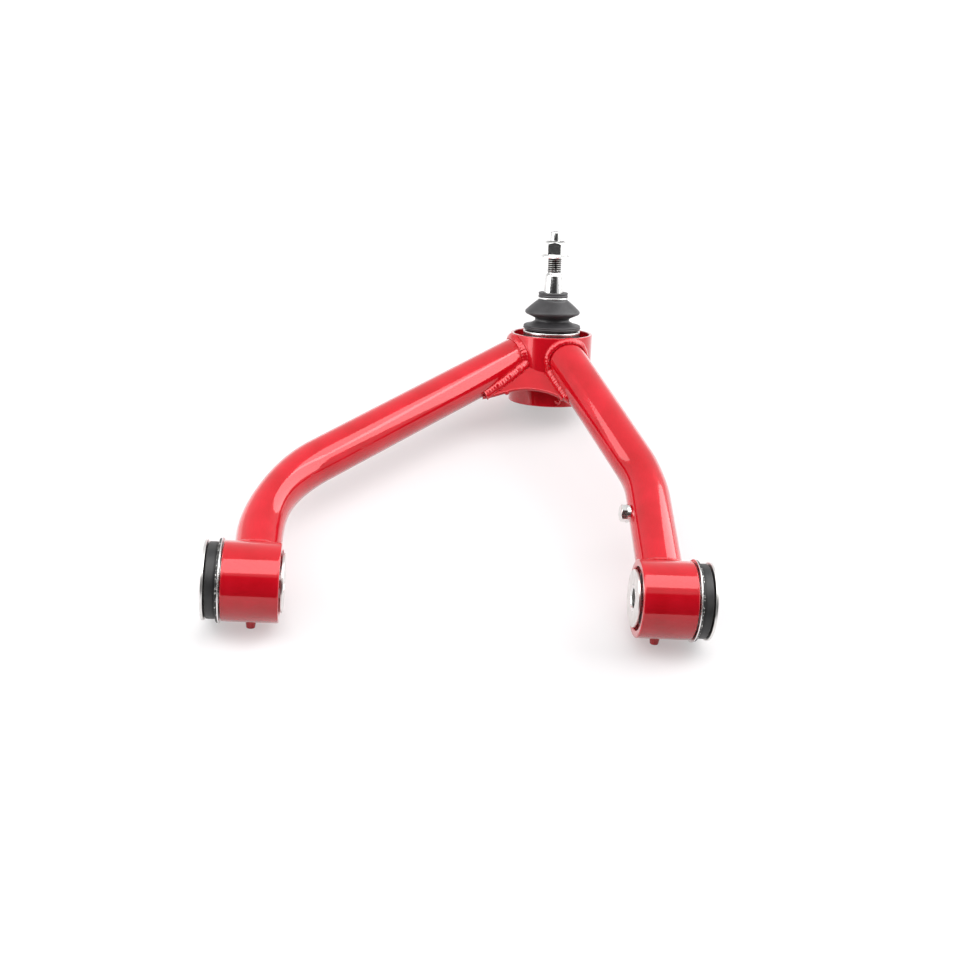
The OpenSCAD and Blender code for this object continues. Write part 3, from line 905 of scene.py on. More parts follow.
def register(
    obj: bpy.types.Object, material: bpy.types.Material, nodes: Sequence[str]
) -> bpy.types.Object:
    """Finishes a piece and hides the CAD nodes that it stands for.

    Args:
        obj: The piece, with its place in its mesh.
        material: Its finish.
        nodes: CAD nodes that it replaces.

    Returns:
        The same piece.
    """
    obj.data.materials.clear()
    obj.data.materials.append(material)
    if nodes:
        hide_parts(*nodes)
    log.info("%s: %d vertices, finished as %s", obj.name, len(obj.data.vertices), material.name)
    return obj


def add_piece(
    obj: bpy.types.Object, body: Body, slot: str, material: bpy.types.Material, *nodes: str
) -> bpy.types.Object:
    """Registers a finished piece that rides on one body.

    Args:
        obj: The piece, with its place in its mesh.
        body: Body that it rides on.
        slot: The record's material slot; not used.
        material: Its finish.
        nodes: CAD nodes that it replaces.

    Returns:
        The same piece.
    """
    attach(obj, body.value)
    return register(obj, material, nodes)


def dress_node(node: str, material: bpy.types.Material) -> None:
    """Gives a CAD node that stays as it is a procedural finish."""
    data = frame["nodes"][node].data
    data.materials.clear()
    data.materials.append(material)
    log.info("%s: CAD mesh kept, finished as %s", node, material.name)


@dataclass
class ArmFrame:
    """Tubes, barrels, pegs, cup and gusset: all that is welded and painted."""

    layout: ArmLayout
    palette: Palette
    tube_segments: int = 96
    rim_edge: float = 0.7 * MM
    barrel_edge: float = 1.5 * MM
    barrel_wall: float = 6 * MM
    peg_base_r: float = 4.75 * MM
    peg_tip_r: float = 3.6 * MM
    peg_length: float = 7.5 * MM
    peg_angle: float = math.radians(18.7)
    short_peg_shift: float = -3 * MM
    seat_depth: float = 10 * MM
    seat_thickness: float = 12 * MM
    seat_bore_r: float = 25 * MM
    joint_depth: float = 1 * MM
    pieces: dict[str, bpy.types.Object] = field(default_factory=dict)

    def build(self) -> None:
        """Builds and dresses every painted piece but the welds."""
        for leg in Leg:
            self.add_tube(leg)
            self.add_barrel(leg)
            self.add_peg(leg)
        self.add_cup()
        self.add_gusset()

    def barrel_r(self, leg: Leg) -> float:
        """Outside radius of a barrel, from its CAD node."""
        low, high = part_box(f"{leg.word}_leg_barrel")
        return (high.z - low.z) / 2

    def keep(self, obj: bpy.types.Object, *nodes: str) -> None:
        """Paints a piece, stands it for its CAD nodes and keeps it by name."""
        paint = self.palette.material(Finishes.paint)
        self.pieces[obj.name] = add_piece(obj, Body.ARM, "red_paint", paint, *nodes)

    def tube_skin(self, leg: Leg, r: float) -> list[list[Vector]]:
        """Rows of points round a leg's tube, from inside its barrel's wall to inside the cup's.

        Args:
            leg: Which leg.
            r: Radius of the skin.

        Returns:
            Rows of points, narrowed in the bend as bent tube is.
        """
        route = self.layout.route(leg)
        flattening = self.layout.plans[leg].flattening
        barrel = self.layout.bush_axis(leg)
        cup = self.layout.cup_axis()
        bend_start, _ = route.station(0.0)
        bend_end, last_way = route.station(1.0)
        last_length = (route.end - bend_end).length
        barrel_skin = self.barrel_r(leg) - self.joint_depth
        cup_skin = self.layout.cup_r - self.joint_depth
        angles = [math.tau * k / self.tube_segments for k in range(self.tube_segments)]
        rows: list[list[Vector]] = []

        def ring(way: Vector, flat: float) -> list[Vector]:
            """Offsets of one section, narrowed by its flattening."""
            side = way.cross(route.normal)
            return [
                side * (math.cos(a) * r * (1 - flat)) + route.normal * (
                    math.sin(a) * r * (1 + flat / 3)
                )
                for a in angles
            ]

        first_ring = ring(route.first_way, 0.0)
        for step in range(9):
            row = []
            for offset in first_ring:
                near = skin_distance(route.start + offset, route.first_way, barrel, barrel_skin)
                along = near + (route.first_length - near) * step / 9
                row.append(route.start + offset + route.first_way * along)
            rows.append(row)
        bend_rows = 56
        for step in range(bend_rows + 1):
            share = step / bend_rows
            centre, way = route.station(share)
            flat = flattening * math.sin(math.pi * share) ** 2
            rows.append([centre + offset for offset in ring(way, flat)])
        last_ring = ring(last_way, 0.0)
        for step in range(1, 17):
            row = []
            for offset in last_ring:
                tail = skin_distance(route.end + offset, -last_way, cup, cup_skin)
                along = (last_length - tail) * step / 16
                row.append(bend_end + offset + last_way * along)
            rows.append(row)
        return rows

    def add_tube(self, leg: Leg) -> None:
        """Adds a leg's bent tube, open inside and closed where its ends meet the welds."""
        outer = self.tube_skin(leg, self.layout.tube_r)
        inner = self.tube_skin(leg, self.layout.tube_r - self.layout.tube_wall)
        mesh = bmesh.new()
        rows = [[mesh.verts.new(p) for p in row] for row in outer + inner[::-1]]
        for here, there in zip(rows, rows[1:] + rows[:1]):
            for k in range(self.tube_segments):
                j = (k + 1) % self.tube_segments
                mesh.faces.new((here[k], here[j], there[j], there[k]))
        self.keep(finish_mesh(f"{leg.word}_bent_tube", mesh), f"{leg.word}_tube")

    def add_barrel(self, leg: Leg) -> None:
        """Adds a barrel with rounded rims."""
        node = f"{leg.word}_leg_barrel"
        low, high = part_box(node)
        outer = self.barrel_r(leg)
        half = (high.x - low.x) / 2
        inner = outer - self.barrel_wall
        profile = rounded(
            [(outer, -half), (outer, half), (inner, half), (inner, -half)], self.barrel_edge, 5
        )
        self.keep(turned(f"{leg.word}_barrel", profile, self.layout.bush_axis(leg), 144), node)

    def add_peg(self, leg: Leg) -> None:
        """Adds the small peg under a barrel, which the arm rests on."""
        down = Vector((0.0, -math.sin(self.peg_angle), -math.cos(self.peg_angle)))
        origin = self.layout.bush_axis(leg).origin.copy()
        origin.x += self.short_peg_shift if leg is Leg.SHORT else 0.0
        start = self.barrel_r(leg) - 2 * MM
        end = self.barrel_r(leg) + self.peg_length
        corners = [(0, start), (self.peg_base_r, start), (self.peg_tip_r, end), (0, end)]
        obj = turned(f"{leg.word}_peg", rounded(corners, 0.35 * MM), Axis(origin, down), 48)
        self.keep(obj, f"{leg.word}_leg_peg")

    def add_cup(self) -> None:
        """Adds the cup and the seat ring inside it."""
        axis = self.layout.cup_axis()
        outer = self.layout.cup_r
        inner = outer - self.layout.cup_wall
        profile = ring_profile(outer, inner, -self.layout.cup_height, 0.0, self.rim_edge)
        self.keep(turned("cup", profile, axis, 160), "ball_joint_cup")
        top = -self.seat_depth
        ring = ring_profile(inner, self.seat_bore_r, top - self.seat_thickness, top, 0.6 * MM)
        # The seat ring's darker red is painted shade inside the cup.
        thin = self.palette.material(Finishes.seat_paint)
        seat = add_piece(
            turned("seat_ring", ring, axis, 128), Body.ARM, "red_paint", thin, "ball_joint_seat"
        )
        self.pieces[seat.name] = seat

    def wall_point(self, spot: Vector) -> Vector:
        """Point in the middle of the cup's wall, in the gusset's plane, towards a point of it."""
        layout = self.layout
        cup = layout.cup_axis()
        off = layout.gusset_point(spot) - cup.origin
        off -= cup.way * off.dot(cup.way)
        return spot * ((layout.cup_r - layout.cup_wall / 2) / off.length)

    def add_gusset(self) -> None:
        """Adds the gusset plate, whose curved front edge is rounded."""
        layout = self.layout
        depth = layout.gusset_thickness
        edge_r = 1.2 * MM
        mesh = bmesh.new()
        rows = []
        for spot, out in layout.gusset_edge():
            inset = spot - out * edge_r
            back = self.wall_point(spot)
            outline = [(back, -depth), (back, 0.0)]
            outline += [(back + (inset - back) * share, 0.0) for share in (0.4, 0.8, 0.97)]
            for corner, turn in ((-edge_r, 90), (edge_r - depth, 0)):
                for step in range(6):
                    angle = math.radians(turn - 90 * step / 5)
                    outline.append(
                        (inset + out * edge_r * math.cos(angle), corner + edge_r * math.sin(angle))
                    )
            outline += [(back + (inset - back) * share, -depth) for share in (0.97, 0.8, 0.4)]
            rows.append([mesh.verts.new(layout.gusset_point(p, h)) for p, h in outline])
        count = len(rows[0])
        for here, there in zip(rows, rows[1:]):
            for k in range(count):
                mesh.faces.new((here[k], here[(k + 1) % count], there[(k + 1) % count], there[k]))
        mesh.faces.new(rows[0])
        mesh.faces.new(rows[-1])
        self.keep(finish_mesh("gusset", mesh), "gusset_plate")


@dataclass(frozen=True)
class Seam:
    """Path of a weld, with the way that its bead faces at each point.

    Args:
        points: Points along the root of the weld.
        faces: Unit vectors half-way between the two surfaces' normals.
        leg_length: Reach of the bead along each surface.
        closed: Whether the seam runs all round.
    """

    points: list[Vector]
    faces: list[Vector]
    leg_length: float
    closed: bool


@dataclass
class WeldBeads:
    """Painted weld beads along the seams, laid by a geometry node tree."""

    layout: ArmLayout
    palette: Palette
    cup_leg: float = 4.6 * MM
    barrel_leg: float = 2.6 * MM
    gusset_leg: float = 6.5 * MM
    fullness: float = 0.42
    ripple_pitch: float = 3.2 * MM
    ripple: float = 0.10
    unevenness: float = 0.30
    wander: float = 0.9 * MM
    end_gap: float = 2.2 * MM
    under_gap: float = 10 * MM
    under_leg: float = 3.5 * MM
    search_start: float = 0.02
    search_step: float = 0.0006
    search_steps: int = 160

    def build(self, barrel_r: float) -> dict[str, bpy.types.Object]:
        """Builds every bead.

        Args:
            barrel_r: Outside radius of the barrels.

        Returns:
            The beads by name.
        """
        tree = self.bead_tree()
        paint = self.palette.material(Finishes.weld_paint)
        beads = {}
        for seed, (name, seam) in enumerate(self.seams(barrel_r).items()):
            beads[name] = self.bead(name, seam, tree, paint, seed)
        return beads

    def seams(self, barrel_r: float) -> dict[str, Seam]:
        """Every seam by the name of its bead."""
        result: dict[str, Seam] = {}
        for leg in Leg:
            route = self.layout.route(leg)
            cup = self.layout.cup_axis()
            barrel = self.layout.bush_axis(leg)
            result[f"{leg.word}_cup_weld"] = self.round_seam(
                route.end, -route.last_way, cup, self.layout.cup_r, self.cup_leg
            )
            result[f"{leg.word}_barrel_weld"] = self.round_seam(
                route.start, route.first_way, barrel, barrel_r, self.barrel_leg
            )
            for side, word in ((1, "upper"), (-1, "lower")):
                result[f"{leg.word}_gusset_{word}_weld"] = self.gusset_seam(leg, side)
        return result

    def round_seam(
        self, start: Vector, way: Vector, axis: Axis, r: float, leg_length: float
    ) -> Seam:
        """Seam all round a tube where it meets a round body.

        Args:
            start: Point of the tube's centre line inside the body.
            way: Direction of the tube away from the body.
            axis: Axis of the body.
            r: Radius of the body.
            leg_length: Reach of the bead.

        Returns:
            The seam.
        """
        side = way.orthogonal().normalized()
        up = way.cross(side)
        points = []
        faces = []
        for i in range(96):
            a = math.tau * i / 96
            out = side * math.cos(a) + up * math.sin(a)
            root = start + out * self.layout.tube_r
            root += way * skin_distance(root, way, axis, r)
            off = root - axis.origin
            skin = (off - axis.way * off.dot(axis.way)).normalized()
            points.append(root)
            faces.append((out + skin).normalized())
        return Seam(points, faces, leg_length, True)

    def gusset_seam(self, leg: Leg, side: int) -> Seam:
        """Seam between the gusset and a tube, from the cup to the gusset's front edge.

        Args:
            leg: Which leg's tube.
            side: 1 for the gusset's upper face, -1 for the lower one.

        Returns:
            The seam.
        """
        layout = self.layout
        route = layout.route(leg)
        way = -route.last_way
        normal = layout.gusset_turn() @ Vector((0.0, 0.0, 1.0))
        plane = layout.gusset_point(
            Vector((0.0, 0.0)), 0.0 if side > 0 else -layout.gusset_thickness
        )
        lift = (normal - way * normal.dot(way)).normalized()
        across = way.cross(lift)
        middle = layout.gusset_point(layout.gusset_edge(2)[1][0])
        if across.dot(middle - route.end) < 0:
            across = -across
        cup = layout.cup_axis()
        edge = [spot for spot, _ in layout.gusset_edge()]
        points = []
        faces = []
        last_gap = math.inf
        for i in range(self.search_steps):
            spot = route.end + way * (self.search_start + self.search_step * i)
            rise = (plane - spot).dot(normal) / (layout.tube_r * normal.dot(lift))
            if abs(rise) >= 1:
                continue
            out = lift * rise + across * math.sqrt(1 - rise * rise)
            root = spot + out * layout.tube_r
            off = root - cup.origin
            if (off - cup.way * off.dot(cup.way)).length < layout.cup_r - 1 * MM:
                continue
            gap = min((layout.on_gusset(off) - place).length for place in edge)
            if gap < (self.end_gap if side > 0 else self.under_gap) or gap > last_gap:
                break
            last_gap = gap
            points.append(root)
            faces.append((out + normal * side).normalized())
        return Seam(points, faces, self.gusset_leg if side > 0 else self.under_leg, False)

    def bead_tree(self) -> bpy.types.NodeTree:
        """Geometry node tree that lays a flat, faintly rippled bead along a path."""
        tree = bpy.data.node_groups.new("weld_bead", "GeometryNodeTree")
        face = tree.interface
        face.new_socket("Geometry", in_out="INPUT", socket_type="NodeSocketGeometry")
        labels = (
            "Half Width", "Thickness", "Ripple Pitch", "Ripple", "Unevenness", "Wander", "Seed"
        )
        for label in labels:
            face.new_socket(label, in_out="INPUT", socket_type="NodeSocketFloat")
        face.new_socket("Material", in_out="INPUT", socket_type="NodeSocketMaterial")
        face.new_socket("Geometry", in_out="OUTPUT", socket_type="NodeSocketGeometry")
        nodes = tree.nodes
        link = tree.links.new
        source = nodes.new("NodeGroupInput")
        sink = nodes.new("NodeGroupOutput")
        to_curve = nodes.new("GeometryNodeMeshToCurve")
        resample = nodes.new("GeometryNodeResampleCurve")
        resample.mode = "LENGTH"
        step = self.math_node(tree, "DIVIDE", source.outputs["Ripple Pitch"], 7.0)
        link(source.outputs["Geometry"], to_curve.inputs["Mesh"])
        link(to_curve.outputs["Curve"], resample.inputs["Curve"])
        link(step, resample.inputs["Length"])
        along = nodes.new("GeometryNodeSplineParameter").outputs["Length"]
        noise = self.noise_node(tree, 150.0, source.outputs["Seed"])
        shiver = self.math_node(tree, "MULTIPLY", noise.outputs["Fac"], 1.6)
        turns = self.math_node(tree, "DIVIDE", along, source.outputs["Ripple Pitch"])
        phase = self.math_node(
            tree, "MULTIPLY", self.math_node(tree, "ADD", turns, shiver), math.pi
        )
        hump = self.math_node(tree, "ABSOLUTE", self.math_node(tree, "SINE", phase))
        dip = self.math_node(tree, "SUBTRACT", hump, 1.0)
        cut = self.math_node(tree, "MULTIPLY", dip, source.outputs["Ripple"])
        swell = self.math_node(tree, "SUBTRACT", noise.outputs["Fac"], 0.5)
        swell = self.math_node(tree, "MULTIPLY", swell, source.outputs["Unevenness"])
        swell = self.math_node(tree, "MULTIPLY", swell, 2.0)
        size = self.math_node(tree, "ADD", self.math_node(tree, "ADD", swell, cut), 1.0)
        shift = nodes.new("ShaderNodeVectorMath")
        shift.operation = "SUBTRACT"
        shift.inputs[1].default_value = (0.5, 0.5, 0.5)
        link(noise.outputs["Color"], shift.inputs[0])
        drift = nodes.new("ShaderNodeVectorMath")
        drift.operation = "SCALE"
        link(shift.outputs[0], drift.inputs[0])
        link(source.outputs["Wander"], drift.inputs["Scale"])
        move = nodes.new("GeometryNodeSetPosition")
        link(resample.outputs["Curve"], move.inputs["Geometry"])
        link(drift.outputs[0], move.inputs["Offset"])
        outward = nodes.new("GeometryNodeInputNamedAttribute")
        outward.data_type = "FLOAT_VECTOR"
        outward.inputs["Name"].default_value = "outward"
        aim = nodes.new("GeometryNodeSetCurveNormal")
        aim.mode = "FREE"
        link(move.outputs["Geometry"], aim.inputs["Curve"])
        link(outward.outputs["Attribute"], aim.inputs["Normal"])
        circle = nodes.new("GeometryNodeCurvePrimitiveCircle")
        circle.inputs["Resolution"].default_value = 20
        circle.inputs["Radius"].default_value = 1.0
        spread = nodes.new("ShaderNodeCombineXYZ")
        link(source.outputs["Thickness"], spread.inputs["X"])
        link(source.outputs["Half Width"], spread.inputs["Y"])
        flat = nodes.new("GeometryNodeTransform")
        link(circle.outputs["Curve"], flat.inputs["Geometry"])
        link(spread.outputs[0], flat.inputs["Scale"])
        sweep = nodes.new("GeometryNodeCurveToMesh")
        sweep.inputs["Fill Caps"].default_value = True
        link(aim.outputs["Curve"], sweep.inputs["Curve"])
        link(flat.outputs["Geometry"], sweep.inputs["Profile Curve"])
        link(size, sweep.inputs["Scale"])
        smooth = nodes.new("GeometryNodeSetShadeSmooth")
        link(sweep.outputs["Mesh"], smooth.inputs["Geometry"])
        realize = nodes.new("GeometryNodeRealizeInstances")
        link(smooth.outputs["Geometry"], realize.inputs["Geometry"])
        coat = nodes.new("GeometryNodeSetMaterial")
        link(realize.outputs["Geometry"], coat.inputs["Geometry"])
        link(source.outputs["Material"], coat.inputs["Material"])
        link(coat.outputs["Geometry"], sink.inputs["Geometry"])
        return tree

    @staticmethod
    def noise_node(
        tree: bpy.types.NodeTree, scale: float, seed: bpy.types.NodeSocket
    ) -> bpy.types.Node:
        """Adds a noise that varies from bead to bead by its seed."""
        noise = tree.nodes.new("ShaderNodeTexNoise")
        noise.noise_dimensions = "4D"
        noise.inputs["Scale"].default_value = scale
        tree.links.new(seed, noise.inputs["W"])
        return noise

    @staticmethod
    def math_node(
        tree: bpy.types.NodeTree, operation: str, *values: float | bpy.types.NodeSocket
    ) -> bpy.types.NodeSocket:
        """Adds a maths node whose inputs are sockets or numbers, and returns its output."""
        node = tree.nodes.new("ShaderNodeMath")
        node.operation = operation
        for socket, value in zip(node.inputs, values):
            if isinstance(value, (int, float)):
                socket.default_value = value
            else:
                tree.links.new(value, socket)
        return node.outputs[0]

    def bead(
        self,
        name: str,
        seam: Seam,
        tree: bpy.types.NodeTree,
        paint: bpy.types.Material,
        seed: int,
    ) -> bpy.types.Object:
        """Lays one bead.

        Args:
            name: Name of the piece.
            seam: Path that it follows.
            tree: The bead node tree.
            paint: Its finish.
            seed: Seed of its unevenness.

        Returns:
            The bead as a plain mesh piece.
        """
        half_width = seam.leg_length * math.sqrt(0.5)
        lift = half_width * 0.72
        points = [p + way * lift for p, way in zip(seam.points, seam.faces)]
        count = len(points)
        edges = [(i, i + 1) for i in range(count - 1)]
        if seam.closed:
            edges.append((count - 1, 0))
        data = bpy.data.meshes.new(f"{name}_path")
        data.from_pydata(points, edges, [])
        outward = data.attributes.new("outward", "FLOAT_VECTOR", "POINT")
        outward.data.foreach_set("vector", [c for way in seam.faces for c in way])
        path = bpy.data.objects.new(f"{name}_path", data)
        bpy.context.scene.collection.objects.link(path)
        modifier = path.modifiers.new("bead", "NODES")
        modifier.node_group = tree
        values = {
            "Half Width": half_width,
            "Thickness": half_width * self.fullness,
            "Ripple Pitch": self.ripple_pitch,
            "Ripple": self.ripple,
            "Unevenness": self.unevenness,
            "Wander": self.wander,
            "Seed": float(seed) * 7.3,
            "Material": paint,
        }
        return evaluated_piece(name, path, modifier, values, paint)


def evaluated_piece(
    name: str,
    path: bpy.types.Object,
    modifier: bpy.types.Modifier,
    values: dict[str, object],
    material: bpy.types.Material,
) -> bpy.types.Object:
    """Turns a geometry node result into a plain mesh piece of the arm.

    Args:
        name: Name of the piece.
        path: Object that carries the modifier, which is removed.
        modifier: The nodes modifier.
        values: Value of each named input.
        material: Finish of the piece.

    Returns:
        The piece.
    """
    sockets = modifier.node_group.interface.items_tree
    for item in sockets:
        if item.item_type == "SOCKET" and item.in_out == "INPUT" and item.name in values:
            modifier[item.identifier] = values[item.name]
    graph = bpy.context.evaluated_depsgraph_get()
    graph.update()
    plain = bpy.data.meshes.new_from_object(path.evaluated_get(graph), depsgraph=graph)
    plain.name = name
    path.modifiers.remove(modifier)
    bpy.data.objects.remove(path)
    obj = bpy.data.objects.new(name, plain)
    bpy.context.scene.collection.objects.link(obj)
    return add_piece(obj, Body.ARM, "red_paint", material)


@dataclass
class PivotBush:
    """Shell, rubber, sleeve and washers in one barrel. Heights run out of the arm."""

    leg: Leg
    layout: ArmLayout
    palette: Palette
    shell_r: float = 25.98 * MM
    shell_wall: float = 2 * MM
    shell_start: float = -16.5 * MM
    flange_r: float = 33.75 * MM
    flange_bottom: float = 23.3 * MM
    flange_top: float = 24.3 * MM
    lip_r: float = 33.25 * MM
    lip_top: float = 26.5 * MM
    collar_r: float = 30.5 * MM
    collar_top: float = 34.7 * MM
    sleeve_r: float = 13 * MM
    spigot_r: float = 11 * MM
    bore_r: float = 8.2 * MM
    chamfer: float = 0.9 * MM
    outer_washer_r: float = 31.75 * MM
    outer_washer_bottom: float = 35.4 * MM
    inner_washer_r: float = 23.5 * MM
    inner_washer_top: float = -23.3 * MM
    washer_thickness: float = 2 * MM

    def build(self) -> dict[str, bpy.types.Object]:
        """Builds the bush and returns its pieces by name."""
        self.axis = self.layout.bush_axis(self.leg)
        self.sleeve_body = Body.LONG_SLEEVE if self.leg is Leg.LONG else Body.SHORT_SLEEVE
        pieces = [self.shell(), self.flange_lip(), self.rubber()]
        pieces += [self.sleeve(), self.outer_washer(), self.inner_washer()]
        return {piece.name: piece for piece in pieces}

    def finish(self, finish: Finish) -> bpy.types.Material:
        """Material of a finish that follows the bush's axis."""
        return self.palette.material(finish, self.axis, f"{self.leg.word}_bush")

    def shell(self) -> bpy.types.Object:
        """Steel outer shell with its thin flange."""
        inner = self.shell_r - self.shell_wall
        corners = [(inner, self.shell_start), (self.shell_r, self.shell_start)]
        corners += [(self.shell_r, self.flange_bottom), (self.flange_r, self.flange_bottom)]
        corners += [(self.flange_r, self.flange_top), (inner, self.flange_top)]
        obj = turned(f"{self.leg.word}_shell", rounded(corners, 0.3 * MM), self.axis, 128)
        return add_piece(
            obj, Body.ARM, "zinc_washer", self.finish(Finishes.zinc), f"{self.leg.word}_bush_shell"
        )

    def flange_lip(self) -> bpy.types.Object:
        """Rubber lip moulded round the flange, flaked along its corner."""
        base = self.flange_top + 0.03 * MM
        inner = self.collar_r - 0.6 * MM
        side: Profile = [
            (inner, base), (self.lip_r - 0.3 * MM, base), (self.lip_r, base + 0.3 * MM)
        ]
        side += arc((self.lip_r - 0.9 * MM, base + 1.0 * MM), 0.9 * MM, 0, 50, 4)
        side += [
            (self.collar_r + 0.5 * MM, self.lip_top - 0.15 * MM),
            (self.collar_r - 0.1 * MM, self.lip_top)
        ]
        side += [(inner, self.lip_top)]
        obj = turned(f"{self.leg.word}_flange_lip", side, self.axis, 160)
        return add_piece(obj, Body.ARM, "bush_rubber", self.finish(Finishes.flaked))

    def rubber(self) -> bpy.types.Object:
        """Rubber body with its collar, slightly waisted and rounded at the end."""
        inner = self.shell_r - self.shell_wall - 0.02 * MM
        bore = self.sleeve_r + 0.05 * MM
        base = self.flange_top + 0.05 * MM
        top = self.collar_top
        edge = self.collar_r - 0.55 * MM
        corners = rounded(
            [(bore, self.shell_start), (inner, self.shell_start), (inner, base)], 0.2 * MM
        )
        side: Profile = [(edge, base), (edge, self.lip_top + 0.3 * MM)]
        side += [
            (self.collar_r - 0.1 * MM, self.lip_top + 1 * MM),
            (self.collar_r, self.lip_top + 2.6 * MM)
        ]
        side += [(self.collar_r, top - 2.2 * MM)]
        side += arc((self.collar_r - 1.6 * MM, top - 1.6 * MM), 1.6 * MM, 0, 90, 6)
        side += [(bore + 0.3 * MM, top), (bore, top - 0.3 * MM)]
        obj = turned(f"{self.leg.word}_rubber", corners[1:] + side, self.axis, 128)
        return add_piece(
            obj,
            Body.ARM,
            "bush_rubber",
            self.finish(Finishes.rubber),
            f"{self.leg.word}_bush_rubber"
        )

    def sleeve(self) -> bpy.types.Object:
        """Inner sleeve with stepped, chamfered ends."""
        bottom = self.inner_washer_top
        top = self.outer_washer_bottom
        end_low = bottom - self.washer_thickness
        end_high = top + self.washer_thickness
        wide = self.bore_r + self.chamfer
        corners = [(wide, end_low), (self.spigot_r, end_low), (self.spigot_r, bottom)]
        corners += [(self.sleeve_r, bottom), (self.sleeve_r, top), (self.spigot_r, top)]
        corners += [
            (self.spigot_r, end_high), (wide, end_high), (self.bore_r, end_high - self.chamfer)
        ]
        corners += [(self.bore_r, end_low + self.chamfer)]
        obj = turned(f"{self.leg.word}_sleeve", rounded(corners[::-1], 0.15 * MM, 2), self.axis, 96)
        return add_piece(
            obj,
            self.sleeve_body,
            "zinc_washer",
            self.finish(Finishes.zinc),
            f"{self.leg.word}_bush_sleeve"
        )

    def washer(self, word: str, r: float, bottom: float) -> bpy.types.Object:
        """A stamped washer with a rounded rim.

        Args:
            word: inner or outer.
            r: Outside radius.
            bottom: Height of its lower face.

        Returns:
            The piece.
        """
        profile = ring_profile(
            r, self.spigot_r + 0.02 * MM, bottom, bottom + self.washer_thickness, 0.45 * MM
        )
        obj = turned(f"{self.leg.word}_{word}_face", profile, self.axis, 128)
        steel = self.finish(Finishes.washer)
        return add_piece(
            obj, self.sleeve_body, "zinc_washer", steel, f"{self.leg.word}_{word}_washer"
        )

    def outer_washer(self) -> bpy.types.Object:
        """Washer outside the collar."""
        return self.washer("outer", self.outer_washer_r, self.outer_washer_bottom)

    def inner_washer(self) -> bpy.types.Object:
        """Washer at the barrel's inner face."""
        return self.washer(
            "inner", self.inner_washer_r, self.inner_washer_top - self.washer_thickness
        )


